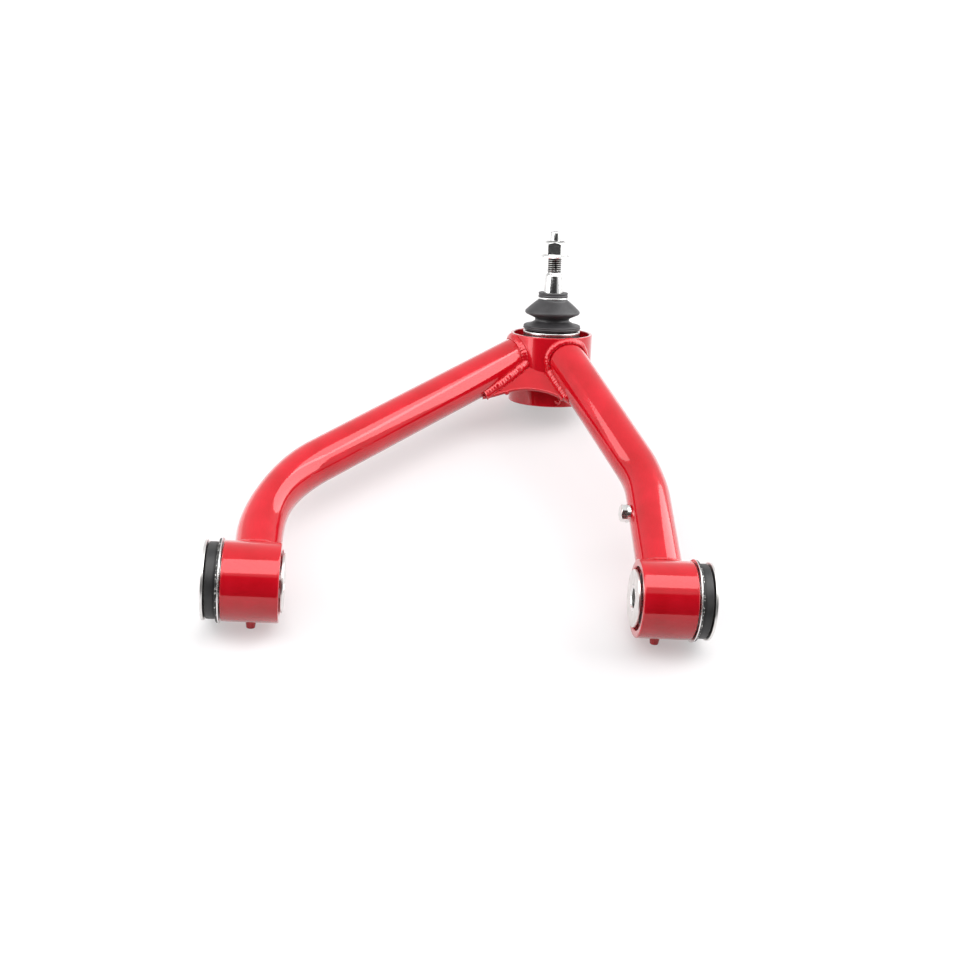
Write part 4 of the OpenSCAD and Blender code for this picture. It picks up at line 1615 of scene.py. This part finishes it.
@dataclass
class BallJoint:
    """Housing, boot, stud and nut. Heights run along the stud from the cup's rim."""

    layout: ArmLayout
    palette: Palette
    ring_r: float = 27.5 * MM
    ring_bottom: float = -0.8 * MM
    ring_height: float = 3.2 * MM
    bead_r: float = 23.5 * MM
    boot_wall: float = 1.8 * MM
    lower_r: float = 28 * MM
    waist_r: float = 16.5 * MM
    waist_height: float = 13.2 * MM
    upper_r: float = 26.5 * MM
    fold_r: float = 2.5 * MM
    fold_height: float = 5.8 * MM
    rib_depth: float = 0.8 * MM
    rib_width: float = 13.0
    rib_angles: tuple[float, float] = (-38.0, 10.0)
    waist_round: float = 2.2 * MM
    upper_round: float = 2.2 * MM
    upper_height: float = 20.5 * MM
    cone_r: float = 24.9 * MM
    cone_bottom: float = 23.0 * MM
    cone_top: float = 32.4 * MM
    boot_end: float = 33.6 * MM
    boot_end_r: float = 13.9 * MM
    garter_bottom: float = 33.2 * MM
    lip_bottom: float = 34.9 * MM
    lip_top: float = 39.3 * MM
    lip_r: float = 14.3 * MM
    ball_r: float = 15 * MM
    neck_r: float = 8.5 * MM
    neck_top: float = 23.3 * MM
    taper_start: float = 29.3 * MM
    taper_top: float = 55.9 * MM
    taper_small_r: float = 8.25 * MM
    taper_ratio: float = 8.0
    thread_r: float = 7 * MM
    thread_pitch: float = 2 * MM
    thread_depth: float = 0.95 * MM
    thread_start: float = 58.6 * MM
    thread_end: float = 88.2 * MM
    tip_r: float = 5.2 * MM
    tip_top: float = 97.2 * MM
    socket_flats: float = 5 * MM
    socket_depth: float = 5 * MM
    nut_flats: float = 21 * MM
    nut_height: float = 15.5 * MM
    nut_turn: float = math.radians(-11)
    flange_r: float = 14.75 * MM
    flange_thickness: float = 2 * MM

    def build(self) -> dict[str, bpy.types.Object]:
        """Builds the ball joint and returns its pieces by name."""
        cup = self.layout.cup_axis()
        self.axis = Axis(cup.origin, cup.way, joint_axis("ball_tilt").way)
        self.dress_inside()
        pieces = [self.boot_ring(), self.boot(), self.garter(), self.lip(), self.stud()]
        pieces += [self.nut(), self.lock_ring()]
        return {piece.name: piece for piece in pieces}

    def finish(self, finish: Finish) -> bpy.types.Material:
        """Material of a finish that follows the stud's axis."""
        return self.palette.material(finish, self.axis, "ball_joint")

    def taper_r(self, height: float) -> float:
        """Radius of the stud's taper at a height."""
        return self.taper_small_r + (self.taper_top - height) / self.taper_ratio / 2

    def dress_inside(self) -> None:
        """Finishes the CAD nodes inside and under the housing, whose shapes are kept."""
        for node in (
            "ball_joint_housing", "pressure_plate", "preload_spring", "end_cap", "snap_ring"
        ):
            dress_node(node, self.finish(Finishes.phosphate))
        dress_node("grease_fitting", self.finish(Finishes.zinc))
        for node in ("upper_race", "lower_race"):
            dress_node(node, self.finish(Finishes.nylon))

    def boot_ring(self) -> bpy.types.Object:
        """Bright ring that clamps the boot to the housing."""
        top = self.ring_bottom + self.ring_height
        profile = ring_profile(
            self.ring_r, self.bead_r + 0.02 * MM, self.ring_bottom, top, 0.6 * MM
        )
        obj = turned("boot_clamp", profile, self.axis, 128)
        return add_piece(obj, Body.ARM, "bright_zinc", self.finish(Finishes.zinc), "boot_ring")

    def boot_side(self, inset: float) -> Profile:
        """Half profile of the boot, from its bead to its top.

        Args:
            inset: Distance inside the boot's outer skin.

        Returns:
            Points as radius and height, with the lower fold's ribs on the outer skin only.
        """
        ribs = self.rib_depth if inset == 0 else 0.0
        side: Profile = [(self.bead_r - inset, self.ring_bottom + 0.03 * MM)]
        side.append((self.bead_r - inset, self.ring_bottom + self.ring_height + 0.35 * MM))
        centre = (self.lower_r - self.fold_r, self.fold_height)
        for step in range(25):
            angle = -90 + 180 * step / 24
            dent = sum(math.exp(-(((angle - rib) / self.rib_width) ** 2)) for rib in self.rib_angles)
            r = self.fold_r - inset - ribs * dent
            side.append(
                (
                    centre[0] + r * math.cos(math.radians(angle)),
                    centre[1] + r * math.sin(math.radians(angle))
                )
            )
        if inset == 0:
            side += [(self.lower_r - 5 * MM, 8.5 * MM), (self.lower_r - 7.2 * MM, 9.6 * MM)]
        waist = (self.waist_r + self.waist_round, self.waist_height)
        side += arc(waist, self.waist_round + inset, 250, 110, 8)
        upper = (self.upper_r - self.upper_round, self.upper_height)
        side += arc(upper, self.upper_round - inset, -70, 50, 8)
        if inset == 0:
            span = (self.boot_end_r - self.cone_r, self.cone_top - self.cone_bottom)
            side += [
                (self.cone_r + span[0] * t, self.cone_bottom + span[1] * t + bulge * MM)
                for t, bulge in ((0.25, 0.22), (0.5, 0.3), (0.75, 0.22))
            ]
        side += [
            (self.boot_end_r - inset, self.boot_end - 1.2 * MM),
            (self.boot_end_r - inset, self.boot_end)
        ]
        return side

    def boot(self) -> bpy.types.Object:
        """Rubber dust boot, turned round the cup's axis between the race and its own collar."""
        profile = self.boot_side(0.0) + self.boot_side(self.boot_wall)[::-1]
        obj = turned("boot", profile, self.axis, 112)
        obj.data.set_sharp_from_angle(angle=math.radians(75))
        start = self.axis.at(3.4 * MM)
        end = self.axis.at(self.boot_end)
        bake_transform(obj)
        return register(obj, self.finish(Finishes.boot), ["dust_boot"])

    def garter(self) -> bpy.types.Object:
        """Bright garter ring under the boot's lip."""
        inner = self.taper_r(self.garter_bottom) + 1 * MM
        profile = ring_profile(
            self.lip_r + 0.5 * MM, inner, self.garter_bottom, self.lip_bottom, 0.6 * MM
        )
        obj = turned("garter", profile, self.axis, 96)
        return add_piece(
            obj, Body.BOOT_COLLAR, "bright_zinc", self.finish(Finishes.zinc), "garter_ring"
        )

    def lip(self) -> bpy.types.Object:
        """Rubber lip round the stud, pinched in the middle."""
        inner = self.taper_r(self.lip_bottom) + 0.05 * MM
        low, high = self.lip_bottom, self.lip_top
        side = arc((self.lip_r - 0.9 * MM, low + 0.9 * MM), 0.9 * MM, -90, 10, 4)
        side += [(self.lip_r - 0.5 * MM, low + 2.1 * MM)]
        side += arc((self.lip_r - 0.8 * MM, high - 0.8 * MM), 0.8 * MM, -10, 90, 5)
        side += [(inner + 2.0 * MM, high - 0.15 * MM), (inner + 0.6 * MM, high - 0.5 * MM)]
        side += [(inner, high - 0.9 * MM), (inner, low)]
        obj = turned("lip", side, self.axis, 96)
        return add_piece(
            obj, Body.BOOT_COLLAR, "boot_rubber", self.finish(Finishes.boot), "boot_lip"
        )

    def thread(self, angle: float, height: float, r: float) -> float:
        """Radius of the stud where a helical vee thread is cut into it."""
        if not self.thread_start < height < self.thread_end or r < self.tip_r:
            return r
        turn = (height / self.thread_pitch - angle / math.tau) % 1.0
        fade = min(1.0, (height - self.thread_start) / (0.6 * self.thread_pitch))
        fade = min(fade, (self.thread_end - height) / (0.6 * self.thread_pitch))
        slope = 1 - abs(2 * turn - 1)
        return r - self.thread_depth * fade * min(1.0, max(0.0, 1.12 - 1.24 * slope))

    def ball_and_neck(self) -> Profile:
        """Profile of the stud from the ball's flat to the top of its taper."""
        ball = -self.layout.ball_depth
        neck = math.degrees(math.asin(self.neck_r / self.ball_r))
        flat = math.degrees(math.acos((self.ball_r - 1.5 * MM) / self.ball_r))
        profile = [(0.0, ball - self.ball_r + 1.5 * MM)]
        profile += arc((0.0, ball), self.ball_r, -90 + flat, 90 - neck, 24)
        profile += [(self.neck_r, ball + 14 * MM), (self.neck_r, self.neck_top)]
        profile += [
            (self.taper_r(self.taper_start), self.taper_start),
            (self.taper_r(self.lip_top), self.lip_top)
        ]
        top = self.taper_top
        profile += [
            (self.taper_r(top - 0.5 * MM), top - 0.5 * MM), (self.taper_small_r - 0.12 * MM, top)
        ]
        return profile

    def stud(self) -> bpy.types.Object:
        """Ball stud with neck, taper, helical thread, plain tip and hexagon socket."""
        root = self.thread_r - self.thread_depth
        profile = self.ball_and_neck()
        profile += [(self.taper_small_r - 0.5 * MM, self.taper_top + 0.4 * MM)]
        profile += [
            (root + 0.25 * MM, self.thread_start - 0.5 * MM), (root + 0.2 * MM, self.thread_start)
        ]
        rows = round((self.thread_end - self.thread_start) / self.thread_pitch * 12)
        for i in range(1, rows + 1):
            h = self.thread_start + (self.thread_end - self.thread_start) * i / rows
            run_out = max(0.0, 1 - i / 5, 1 - (rows - i) / 6)
            profile.append((self.thread_r - 0.8 * MM * run_out, h))
        tip = self.tip_top
        profile += [
            (self.tip_r + 0.1 * MM, self.thread_end + 0.5 * MM),
            (self.tip_r, self.thread_end + 1 * MM)
        ]
        profile += [(self.tip_r, tip - 1.2 * MM), (self.tip_r - 0.15 * MM, tip - 0.8 * MM)]
        profile += [(self.tip_r - 0.9 * MM, tip - 0.05 * MM), (self.tip_r - 1.1 * MM, tip)]
        corner = self.socket_flats / 2 / math.cos(math.pi / 6)
        profile += [
            (corner + 0.2 * MM, tip), (corner, tip - 0.2 * MM), (corner, tip - self.socket_depth)
        ]
        profile += [(0.0, tip - self.socket_depth - 0.5 * MM)]
        socket = hexagonal(self.socket_flats, tip - self.socket_depth, tip - 0.1 * MM)

        def shape(angle: float, height: float, r: float) -> float:
            """Radius with the socket cut inside the tip and the thread round the shank."""
            if r <= corner and height > self.thread_end:
                return socket(angle, height, r)
            return self.thread(angle, height, r)

        obj = turned("stud_shaft", profile, self.axis, 80, shape)
        # Painted shade: how deep each vertex lies in the thread's hollows, which darkens the steel there.
        thread_shade = obj.data.attributes.new("groove", "FLOAT", "POINT")
        for i, vertex in enumerate(obj.data.vertices):
            off = vertex.co - self.axis.origin
            height = off.dot(self.axis.way)
            deep = (self.thread_r - (off - self.axis.way * height).length) / self.thread_depth
            if self.thread_start < height < self.thread_end:
                thread_shade.data[i].value = min(1.0, max(0.0, 1.6 * deep))
        return add_piece(obj, Body.STUD, "ground_steel", self.finish(Finishes.steel), "ball_stud")

    def nut(self) -> bpy.types.Object:
        """Flange nut with chamfered corners and a recess for its locking ring."""
        top = self.thread_end - 0.3 * MM
        bottom = top - self.nut_height
        corner = self.nut_flats / 2 / math.cos(math.pi / 6)
        waist = bottom + self.flange_thickness
        bore = self.thread_r + 0.02 * MM
        flat_r = self.nut_flats / 2
        profile = [(bore, bottom + 0.6 * MM), (bore + 0.8 * MM, bottom)]
        profile += [
            (self.flange_r - 1.2 * MM, bottom + 0.05 * MM),
            (self.flange_r - 0.3 * MM, bottom + 0.3 * MM)
        ]
        profile += [
            (self.flange_r, bottom + 0.9 * MM), (self.flange_r - 0.25 * MM, waist - 0.2 * MM)
        ]
        profile += [
            (self.flange_r - 0.8 * MM, waist + 0.15 * MM), (corner + 0.2 * MM, waist + 1.5 * MM)
        ]
        profile += [
            (corner, waist + 2.1 * MM), (corner, waist + 2.6 * MM), (corner, top - 2.2 * MM)
        ]
        rise = corner - flat_r + 0.9 * MM
        profile += [(corner - rise * i / 8, top - rise * 0.75 * (1 - i / 8)) for i in range(9)]
        profile += [(flat_r - 1.6 * MM, top)]
        profile += [(self.thread_r + 2.6 * MM, top), (self.thread_r + 2.4 * MM, top - 0.2 * MM)]
        profile += [(self.thread_r + 2.4 * MM, top - 3.8 * MM), (bore, top - 3.8 * MM)]
        cut = hexagonal(self.nut_flats, waist + 1.4 * MM, top - 0.01 * MM, self.nut_turn)

        def shape(angle: float, height: float, r: float) -> float:
            """Radius with the flats cut on the nut's outside only."""
            return cut(angle, height, r) if r > flat_r - 1 * MM else r

        obj = turned("flange_nut", profile, self.axis, 120, shape)
        return add_piece(obj, Body.STUD, "nut_zinc", self.finish(Finishes.nut), "stud_nut")

    def lock_ring(self) -> bpy.types.Object:
        """Nylon ring in the top of the nut."""
        top = self.thread_end - 1.1 * MM
        profile = ring_profile(
            self.thread_r + 2.38 * MM, self.thread_r + 0.02 * MM, top - 2.9 * MM, top, 0.3 * MM
        )
        obj = turned("nut_lock", profile, self.axis, 72)
        return add_piece(
            obj, Body.STUD, "black_nylon", self.finish(Finishes.lock_nylon), "nut_lock_ring"
        )


@dataclass
class LineFixing:
    """Bolt, washer and rivet nut on the short tube's inner side."""

    palette: Palette
    head_flats: float = 13 * MM
    head_height: float = 5.3 * MM
    bolt_r: float = 4 * MM
    bolt_length: float = 16 * MM

    def build(self) -> dict[str, bpy.types.Object]:
        """Builds the bolt's head and finishes the washer and rivet nut."""
        low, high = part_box("line_washer")
        centre = (low + high) / 2
        axis = Axis(Vector((low.x, centre.y, centre.z)), Vector((-1.0, 0.0, 0.0)))
        zinc = self.palette.material(Finishes.zinc, axis, "line_fixing")
        for node in ("line_washer", "line_rivet_nut"):
            dress_node(node, zinc)
        corner = self.head_flats / 2 / math.cos(math.pi / 6)
        flat_r = self.head_flats / 2
        top = self.head_height
        profile: Profile = [(0.0, -self.bolt_length), (self.bolt_r - 0.6 * MM, -self.bolt_length)]
        profile += [(self.bolt_r, 0.6 * MM - self.bolt_length), (self.bolt_r, 0.0)]
        profile += [(corner - 0.2 * MM, 0.0), (corner, 0.3 * MM), (corner, top - 1.3 * MM)]
        drop = corner - flat_r + 0.5 * MM
        profile += [(corner - drop * i / 6, top - 1.0 * MM * (1 - i / 6)) for i in range(7)]
        profile += [
            (flat_r - 1.2 * MM, top), (flat_r - 2.0 * MM, top - 0.25 * MM), (0.0, top - 0.25 * MM)
        ]
        cut = hexagonal(self.head_flats, 0.0, top - 0.01 * MM)

        def shape(angle: float, height: float, r: float) -> float:
            """Radius with the flats cut on the head's outside only."""
            return cut(angle, height, r) if r > self.bolt_r + 1 * MM else r

        obj = turned("line_bolt_head", profile, axis, 96, shape)
        return {obj.name: add_piece(obj, Body.ARM, "bright_zinc", zinc, "line_bolt")}


# --- Camera and image points ---


@dataclass(frozen=True)
class PhotoCamera:
    """The photograph's camera, settled by the image points."""

    size: float = 960.0
    sensor: float = 36.0
    lens: float = 52.573
    position: tuple[float, float, float] = (-0.25987, -0.82104, 0.76033)
    yaw: float = math.radians(6.894)
    pitch: float = math.radians(38.034)
    roll: float = math.radians(7.177)

    def rotation(self) -> Matrix:
        """Rotation matrix of the camera: right, up and backward as columns."""
        view = Vector((
            math.sin(self.yaw) * math.cos(self.pitch),
            math.cos(self.yaw) * math.cos(self.pitch),
            -math.sin(self.pitch),
        ))
        level = Vector((math.cos(self.yaw), -math.sin(self.yaw), 0.0))
        above = level.cross(view)
        right = level * math.cos(self.roll) + above * math.sin(self.roll)
        up = above * math.cos(self.roll) - level * math.sin(self.roll)
        return Matrix((right, up, -view)).transposed()

    def build(self) -> bpy.types.Object:
        """Creates the camera and makes it the scene's."""
        data = bpy.data.cameras.new("photo_camera")
        data.sensor_fit = "AUTO"
        data.sensor_width = self.sensor
        data.lens = self.lens
        data.clip_start = 0.01
        obj = bpy.data.objects.new("photo_camera", data)
        obj.matrix_world = Matrix.Translation(self.position) @ self.rotation().to_4x4()
        bpy.context.scene.collection.objects.link(obj)
        bpy.context.scene.camera = obj
        return obj

    def ray(self, x: float, y: float) -> tuple[Vector, Vector]:
        """Origin and direction of the ray through an image point."""
        half = self.size / 2
        local = Vector((x - half, half - y, -self.size * self.lens / self.sensor))
        return Vector(self.position), (self.rotation() @ local).normalized()

    def project(self, point: Vector) -> tuple[float, float]:
        """Image point at which a place in the scene shows."""
        local = self.rotation().transposed() @ (point - Vector(self.position))
        scale = self.size * self.lens / self.sensor / -local.z
        return self.size / 2 + local.x * scale, self.size / 2 - local.y * scale


def tree_of(objects: Sequence[bpy.types.Object]) -> BVHTree:
    """Search tree over the finished meshes of some objects."""
    mesh = bmesh.new()
    for obj in objects:
        mesh.from_mesh(obj.data)
    tree = BVHTree.FromBMesh(mesh)
    mesh.free()
    return tree


def placed(camera: PhotoCamera, name: str, tree: BVHTree) -> tuple[Vector, Vector]:
    """Place and normal on a surface that an image point shows.

    Args:
        camera: The photograph's camera.
        name: Name of the image point.
        tree: Search tree of what carries the piece.

    Returns:
        The hit point and its normal; on a miss, those nearest the ray.
    """
    origin, way = camera.ray(*IMAGE_POINTS[name])
    spot, normal, _, _ = tree.ray_cast(origin, way)
    if spot is None:
        steps = [origin + way * (0.6 + 0.005 * i) for i in range(300)]
        spot, normal, _, _ = min((tree.find_nearest(p) for p in steps), key=lambda hit: hit[3])
    return spot, normal


@dataclass
class WeldDrops:
    """Small drops of weld metal beside the gusset, placed by image points."""

    palette: Palette
    camera: PhotoCamera
    sizes: dict[str, float] = field(
        default_factory=lambda: {
            "gusset_blob": 4.2 * MM, "gusset_drop": 3.1 * MM, "gusset_corner": 2.4 * MM
        }
    )

    def build(self, carriers: Sequence[bpy.types.Object]) -> dict[str, bpy.types.Object]:
        """Builds the drops on the surfaces that carry them."""
        tree = tree_of(carriers)
        paint = self.palette.material(Finishes.weld_paint)
        pieces = {}
        for name, r in self.sizes.items():
            spot, normal = placed(self.camera, name, tree)
            axis = Axis(spot - normal * r * 0.35, normal)
            profile = [(0.0, -0.6 * r), *arc((0.0, 0.0), r, -35, 90, 10)]
            profile[-1] = (0.0, r)

            def lumpy(angle: float, height: float, radius: float, r: float = r) -> float:
                """Radius of an uneven drop of weld."""
                return radius * (
                    1 + 0.12 * math.sin(2 * angle + 900 * r) + 0.05 * math.sin(5 * angle)
                )

            obj = turned(f"{name}_weld", profile, axis, 32, lumpy)
            pieces[name] = add_piece(obj, Body.ARM, "red_paint", paint)
        return pieces


# --- Studio ---


@dataclass(frozen=True)
class Softbox:
    """A rectangular lamp.

    Args:
        name: Its name.
        place: Its position.
        aim: Point that it faces.
        size: Width and height.
        radiance: Brightness of its face, where 1 is white.
        spin: Angle that it is turned about its own aim.
    """

    name: str
    place: tuple[float, float, float]
    aim: tuple[float, float, float]
    size: tuple[float, float]
    radiance: float
    spin: float

    def build(self) -> None:
        """Adds the lamp to the scene."""
        data = bpy.data.lights.new(self.name, "AREA")
        data.shape = "RECTANGLE"
        data.size, data.size_y = self.size
        data.energy = self.radiance * math.pi * self.size[0] * self.size[1]
        obj = bpy.data.objects.new(self.name, data)
        back = (Vector(self.place) - Vector(self.aim)).normalized()
        level = Vector((0.0, 0.0, 1.0)) if abs(back.z) < 0.9 else Vector((0.0, 1.0, 0.0))
        across = level.cross(back).normalized()
        turn = Matrix((across, back.cross(across), back)).transposed() @ Matrix.Rotation(
            self.spin, 3, "Z"
        )
        obj.matrix_world = Matrix.Translation(self.place) @ turn.to_4x4()
        obj.visible_camera = False
        bpy.context.scene.collection.objects.link(obj)


@dataclass(frozen=True)
class Studio:
    """Pale floor, white room with a dark opening behind the camera, and soft lamps."""

    floor_z: float
    opening: tuple[float, float] = (-0.12, -0.993)
    opening_sides: tuple[float, float] = (0.54, 0.80)
    opening_top: tuple[float, float] = (0.80, 0.88)
    room_light: float = 0.12
    room_shine: float = 1.0
    opening_shine: float = 0.05
    floor_glow: tuple[float, float] = (0.40, 0.95)
    glow_reach: tuple[float, float] = (0.1, 1.6)
    floor_colour: tuple[float, float, float] = (0.50, 0.487, 0.492)
    lamps: tuple[Softbox, ...] = (
        Softbox("overhead_softbox", (-0.18, 0.0, 1.19), (-0.15, 0.15, 0.0), (2.4, 0.83), 3.1, 0.37),
        Softbox("right_softbox", (1.51, 0.57, 1.04), (-0.14, 0.15, 0.0), (1.92, 1.66), 3.4, -0.02),
        Softbox("left_softbox", (-1.18, 0.11, 0.45), (-0.09, 0.15, 0.0), (0.89, 1.25), 2.7, 0.24),
    )

    def build(self) -> None:
        """Builds the floor, the world and the lamps."""
        self.floor()
        self.world()
        for lamp in self.lamps:
            lamp.build()

    @staticmethod
    def seen_or_mirrored(nodes: bpy.types.Nodes, link: Callable) -> bpy.types.NodeSocket:
        """Value that is 1 for camera, glossy and transmission rays and 0 for the others."""
        path = nodes.new("ShaderNodeLightPath")
        total = path.outputs["Is Camera Ray"]
        for label in ("Is Glossy Ray", "Is Transmission Ray"):
            add = nodes.new("ShaderNodeMath")
            add.operation = "MAXIMUM"
            link(total, add.inputs[0])
            link(path.outputs[label], add.inputs[1])
            total = add.outputs[0]
        return total

    def floor(self) -> None:
        """Large pale floor under the arm, which keeps the arm's shadow."""
        mesh = bmesh.new()
        bmesh.ops.create_grid(mesh, x_segments=1, y_segments=1, size=30.0)
        bmesh.ops.translate(mesh, verts=mesh.verts, vec=(0, 0, self.floor_z))
        obj = finish_mesh("studio_floor", mesh)
        material = bpy.data.materials.new("studio_paper")
        material.use_nodes = True
        nodes = material.node_tree.nodes
        link = material.node_tree.links.new
        shader = nodes["Principled BSDF"]
        shader.inputs["Base Color"].default_value = (*self.floor_colour, 1.0)
        shader.inputs["Roughness"].default_value = 0.9
        shader.inputs["Specular IOR Level"].default_value = 0.0
        shader.inputs["Emission Color"].default_value = (1.0, 1.0, 1.0, 1.0)
        where = nodes.new("ShaderNodeTexCoord")
        away = nodes.new("ShaderNodeVectorMath")
        away.operation = "LENGTH"
        link(where.outputs["Object"], away.inputs[0])
        rise = self.ramp(nodes, *self.glow_reach, *self.floor_glow)
        link(away.outputs["Value"], rise.inputs["Value"])
        glow = nodes.new("ShaderNodeMath")
        glow.operation = "MULTIPLY"
        link(self.seen_or_mirrored(nodes, link), glow.inputs[0])
        link(rise.outputs["Result"], glow.inputs[1])
        link(glow.outputs[0], shader.inputs["Emission Strength"])
        obj.data.materials.append(material)

    def world(self) -> None:
        """White room, with a dark opening in front of the arm that only gloss shows."""
        world = bpy.data.worlds.new("studio_world")
        world.use_nodes = True
        bpy.context.scene.world = world
        nodes = world.node_tree.nodes
        link = world.node_tree.links.new
        nodes.clear()
        output = nodes.new("ShaderNodeOutputWorld")
        soft = nodes.new("ShaderNodeBackground")
        soft.inputs["Strength"].default_value = self.room_light
        shown = nodes.new("ShaderNodeBackground")
        mix = nodes.new("ShaderNodeMixShader")
        where = nodes.new("ShaderNodeTexCoord")
        level = nodes.new("ShaderNodeVectorMath")
        level.operation = "MULTIPLY"
        level.inputs[1].default_value = (1.0, 1.0, 0.0)
        flat = nodes.new("ShaderNodeVectorMath")
        flat.operation = "NORMALIZE"
        facing = nodes.new("ShaderNodeVectorMath")
        facing.operation = "DOT_PRODUCT"
        facing.inputs[1].default_value = (*self.opening, 0.0)
        split = nodes.new("ShaderNodeSeparateXYZ")
        link(where.outputs["Generated"], level.inputs[0])
        link(level.outputs[0], flat.inputs[0])
        link(flat.outputs[0], facing.inputs[0])
        link(where.outputs["Generated"], split.inputs[0])
        sides = self.ramp(nodes, *self.opening_sides, 0.0, 1.0)
        link(facing.outputs["Value"], sides.inputs["Value"])
        height = self.ramp(nodes, *self.opening_top, 1.0, 0.0)
        link(split.outputs["Z"], height.inputs["Value"])
        dark = nodes.new("ShaderNodeMath")
        dark.operation = "MULTIPLY"
        link(sides.outputs["Result"], dark.inputs[0])
        link(height.outputs["Result"], dark.inputs[1])
        shine = self.ramp(nodes, 0.0, 1.0, self.room_shine, self.opening_shine)
        link(dark.outputs[0], shine.inputs["Value"])
        path = nodes.new("ShaderNodeLightPath")
        bright = nodes.new("ShaderNodeMath")
        bright.operation = "MAXIMUM"
        link(shine.outputs["Result"], bright.inputs[0])
        link(path.outputs["Is Camera Ray"], bright.inputs[1])
        link(bright.outputs[0], shown.inputs["Strength"])
        link(self.seen_or_mirrored(nodes, link), mix.inputs["Fac"])
        link(soft.outputs[0], mix.inputs[1])
        link(shown.outputs[0], mix.inputs[2])
        link(mix.outputs[0], output.inputs["Surface"])

    @staticmethod
    def ramp(
        nodes: bpy.types.Nodes, low: float, high: float, start: float, end: float
    ) -> bpy.types.Node:
        """Adds a smooth ramp from one level to another between two input values."""
        node = nodes.new("ShaderNodeMapRange")
        node.interpolation_type = "SMOOTHSTEP"
        for label, value in (
            ("From Min", low), ("From Max", high), ("To Min", start), ("To Max", end)
        ):
            node.inputs[label].default_value = value
        return node


# --- Where things show ---


class PointReport:
    """Measures where things show, by the vertices that the camera sees.

    Args:
        camera: The photograph's camera.
        pieces: The scene's pieces by name.
    """

    def __init__(self, camera: PhotoCamera, pieces: dict[str, bpy.types.Object]) -> None:
        """Builds the search tree of all that can hide something."""
        self.camera = camera
        self.eye = Vector(camera.position)
        self.pieces = pieces
        self.tree = tree_of(list(pieces.values()))

    def seen(self, point: Vector) -> bool:
        """Whether nothing lies between the camera and a point."""
        way = self.eye - point
        hit = self.tree.ray_cast(point + way.normalized() * 0.3 * MM, way.normalized(), way.length)
        return hit[0] is None

    def edge(self, names: Sequence[str], across: int, largest: bool) -> tuple[float, float]:
        """Image point of the outermost vertex of some pieces that shows.

        Args:
            names: The pieces.
            across: 0 for x, 1 for y.
            largest: Whether the far side of the image is meant.

        Returns:
            The image point.
        """
        spots = [
            (self.camera.project(v.co), v.co) for name in names for v in self.pieces[name].data.vertices
        ]
        spots.sort(key=lambda spot: spot[0][across], reverse=largest)
        return next((shown for shown, place in spots if self.seen(place)), spots[0][0])

    def middle(self, name: str) -> tuple[float, float]:
        """Middle of what shows of a piece."""
        left, right = self.edge([name], 0, False)[0], self.edge([name], 0, True)[0]
        top, bottom = self.edge([name], 1, False)[1], self.edge([name], 1, True)[1]
        return (left + right) / 2, (top + bottom) / 2

    def write(self, layout: ArmLayout, joint: BallJoint, bush: PivotBush) -> None:
        every = list(self.pieces)
        cup = layout.cup_axis()
        rim = [
            self.camera.project(v.co)
            for v in self.pieces["cup"].data.vertices
            if (v.co - cup.origin).dot(cup.way) > -1 * MM
        ]
        bore = layout.bush_axis(Leg.SHORT).at(bush.inner_washer_top - bush.washer_thickness)
        shown = {
            "object_left": (self.edge(every, 0, False)[0], None),
            "object_right": (self.edge(every, 0, True)[0], None),
            "object_top": (None, self.edge(every, 1, False)[1]),
            "object_bottom": (None, self.edge(every, 1, True)[1]),
            "stud_tip": self.camera.project(cup.at(joint.tip_top)),
            "cup_rim_left": min(rim),
            "cup_rim_right": max(rim),
            "cup_bottom": self.edge(["cup"], 1, True),
            "long_peg_tip": self.edge(["long_peg"], 1, True),
            "short_peg_tip": self.edge(["short_peg"], 1, True),
            "short_bush_bore": self.camera.project(bore),
            "line_bolt": self.middle("line_bolt_head"),
            "boot_waist": self.camera.project(cup.at(joint.waist_height)),
        }
        for name in ("gusset_blob", "gusset_drop", "gusset_corner"):
            shown[name] = self.middle(name)


def main() -> None:
    """Builds the arm's looks, the studio and the camera, and works out where things show."""
    logging.basicConfig(level=logging.INFO, format="%(message)s")
    bpy.context.scene.view_settings.view_transform = "Standard"
    layout = ArmLayout()
    palette = Palette()
    camera = PhotoCamera()
    camera.build()
    arm = ArmFrame(layout, palette)
    arm.build()
    pieces = dict(arm.pieces)
    pieces |= WeldBeads(layout, palette).build(arm.barrel_r(Leg.LONG))
    carriers = list(pieces.values())
    bushes = {leg: PivotBush(leg, layout, palette) for leg in Leg}
    for bush in bushes.values():
        pieces |= bush.build()
    joint = BallJoint(layout, palette)
    pieces |= joint.build()
    pieces |= LineFixing(palette).build()
    pieces |= WeldDrops(palette, camera).build(carriers)
    Studio(min(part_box(node)[0].z for node in frame["nodes"])).build()
    PointReport(camera, pieces).write(layout, joint, bushes[Leg.SHORT])


if __name__ == "__main__":
    main()
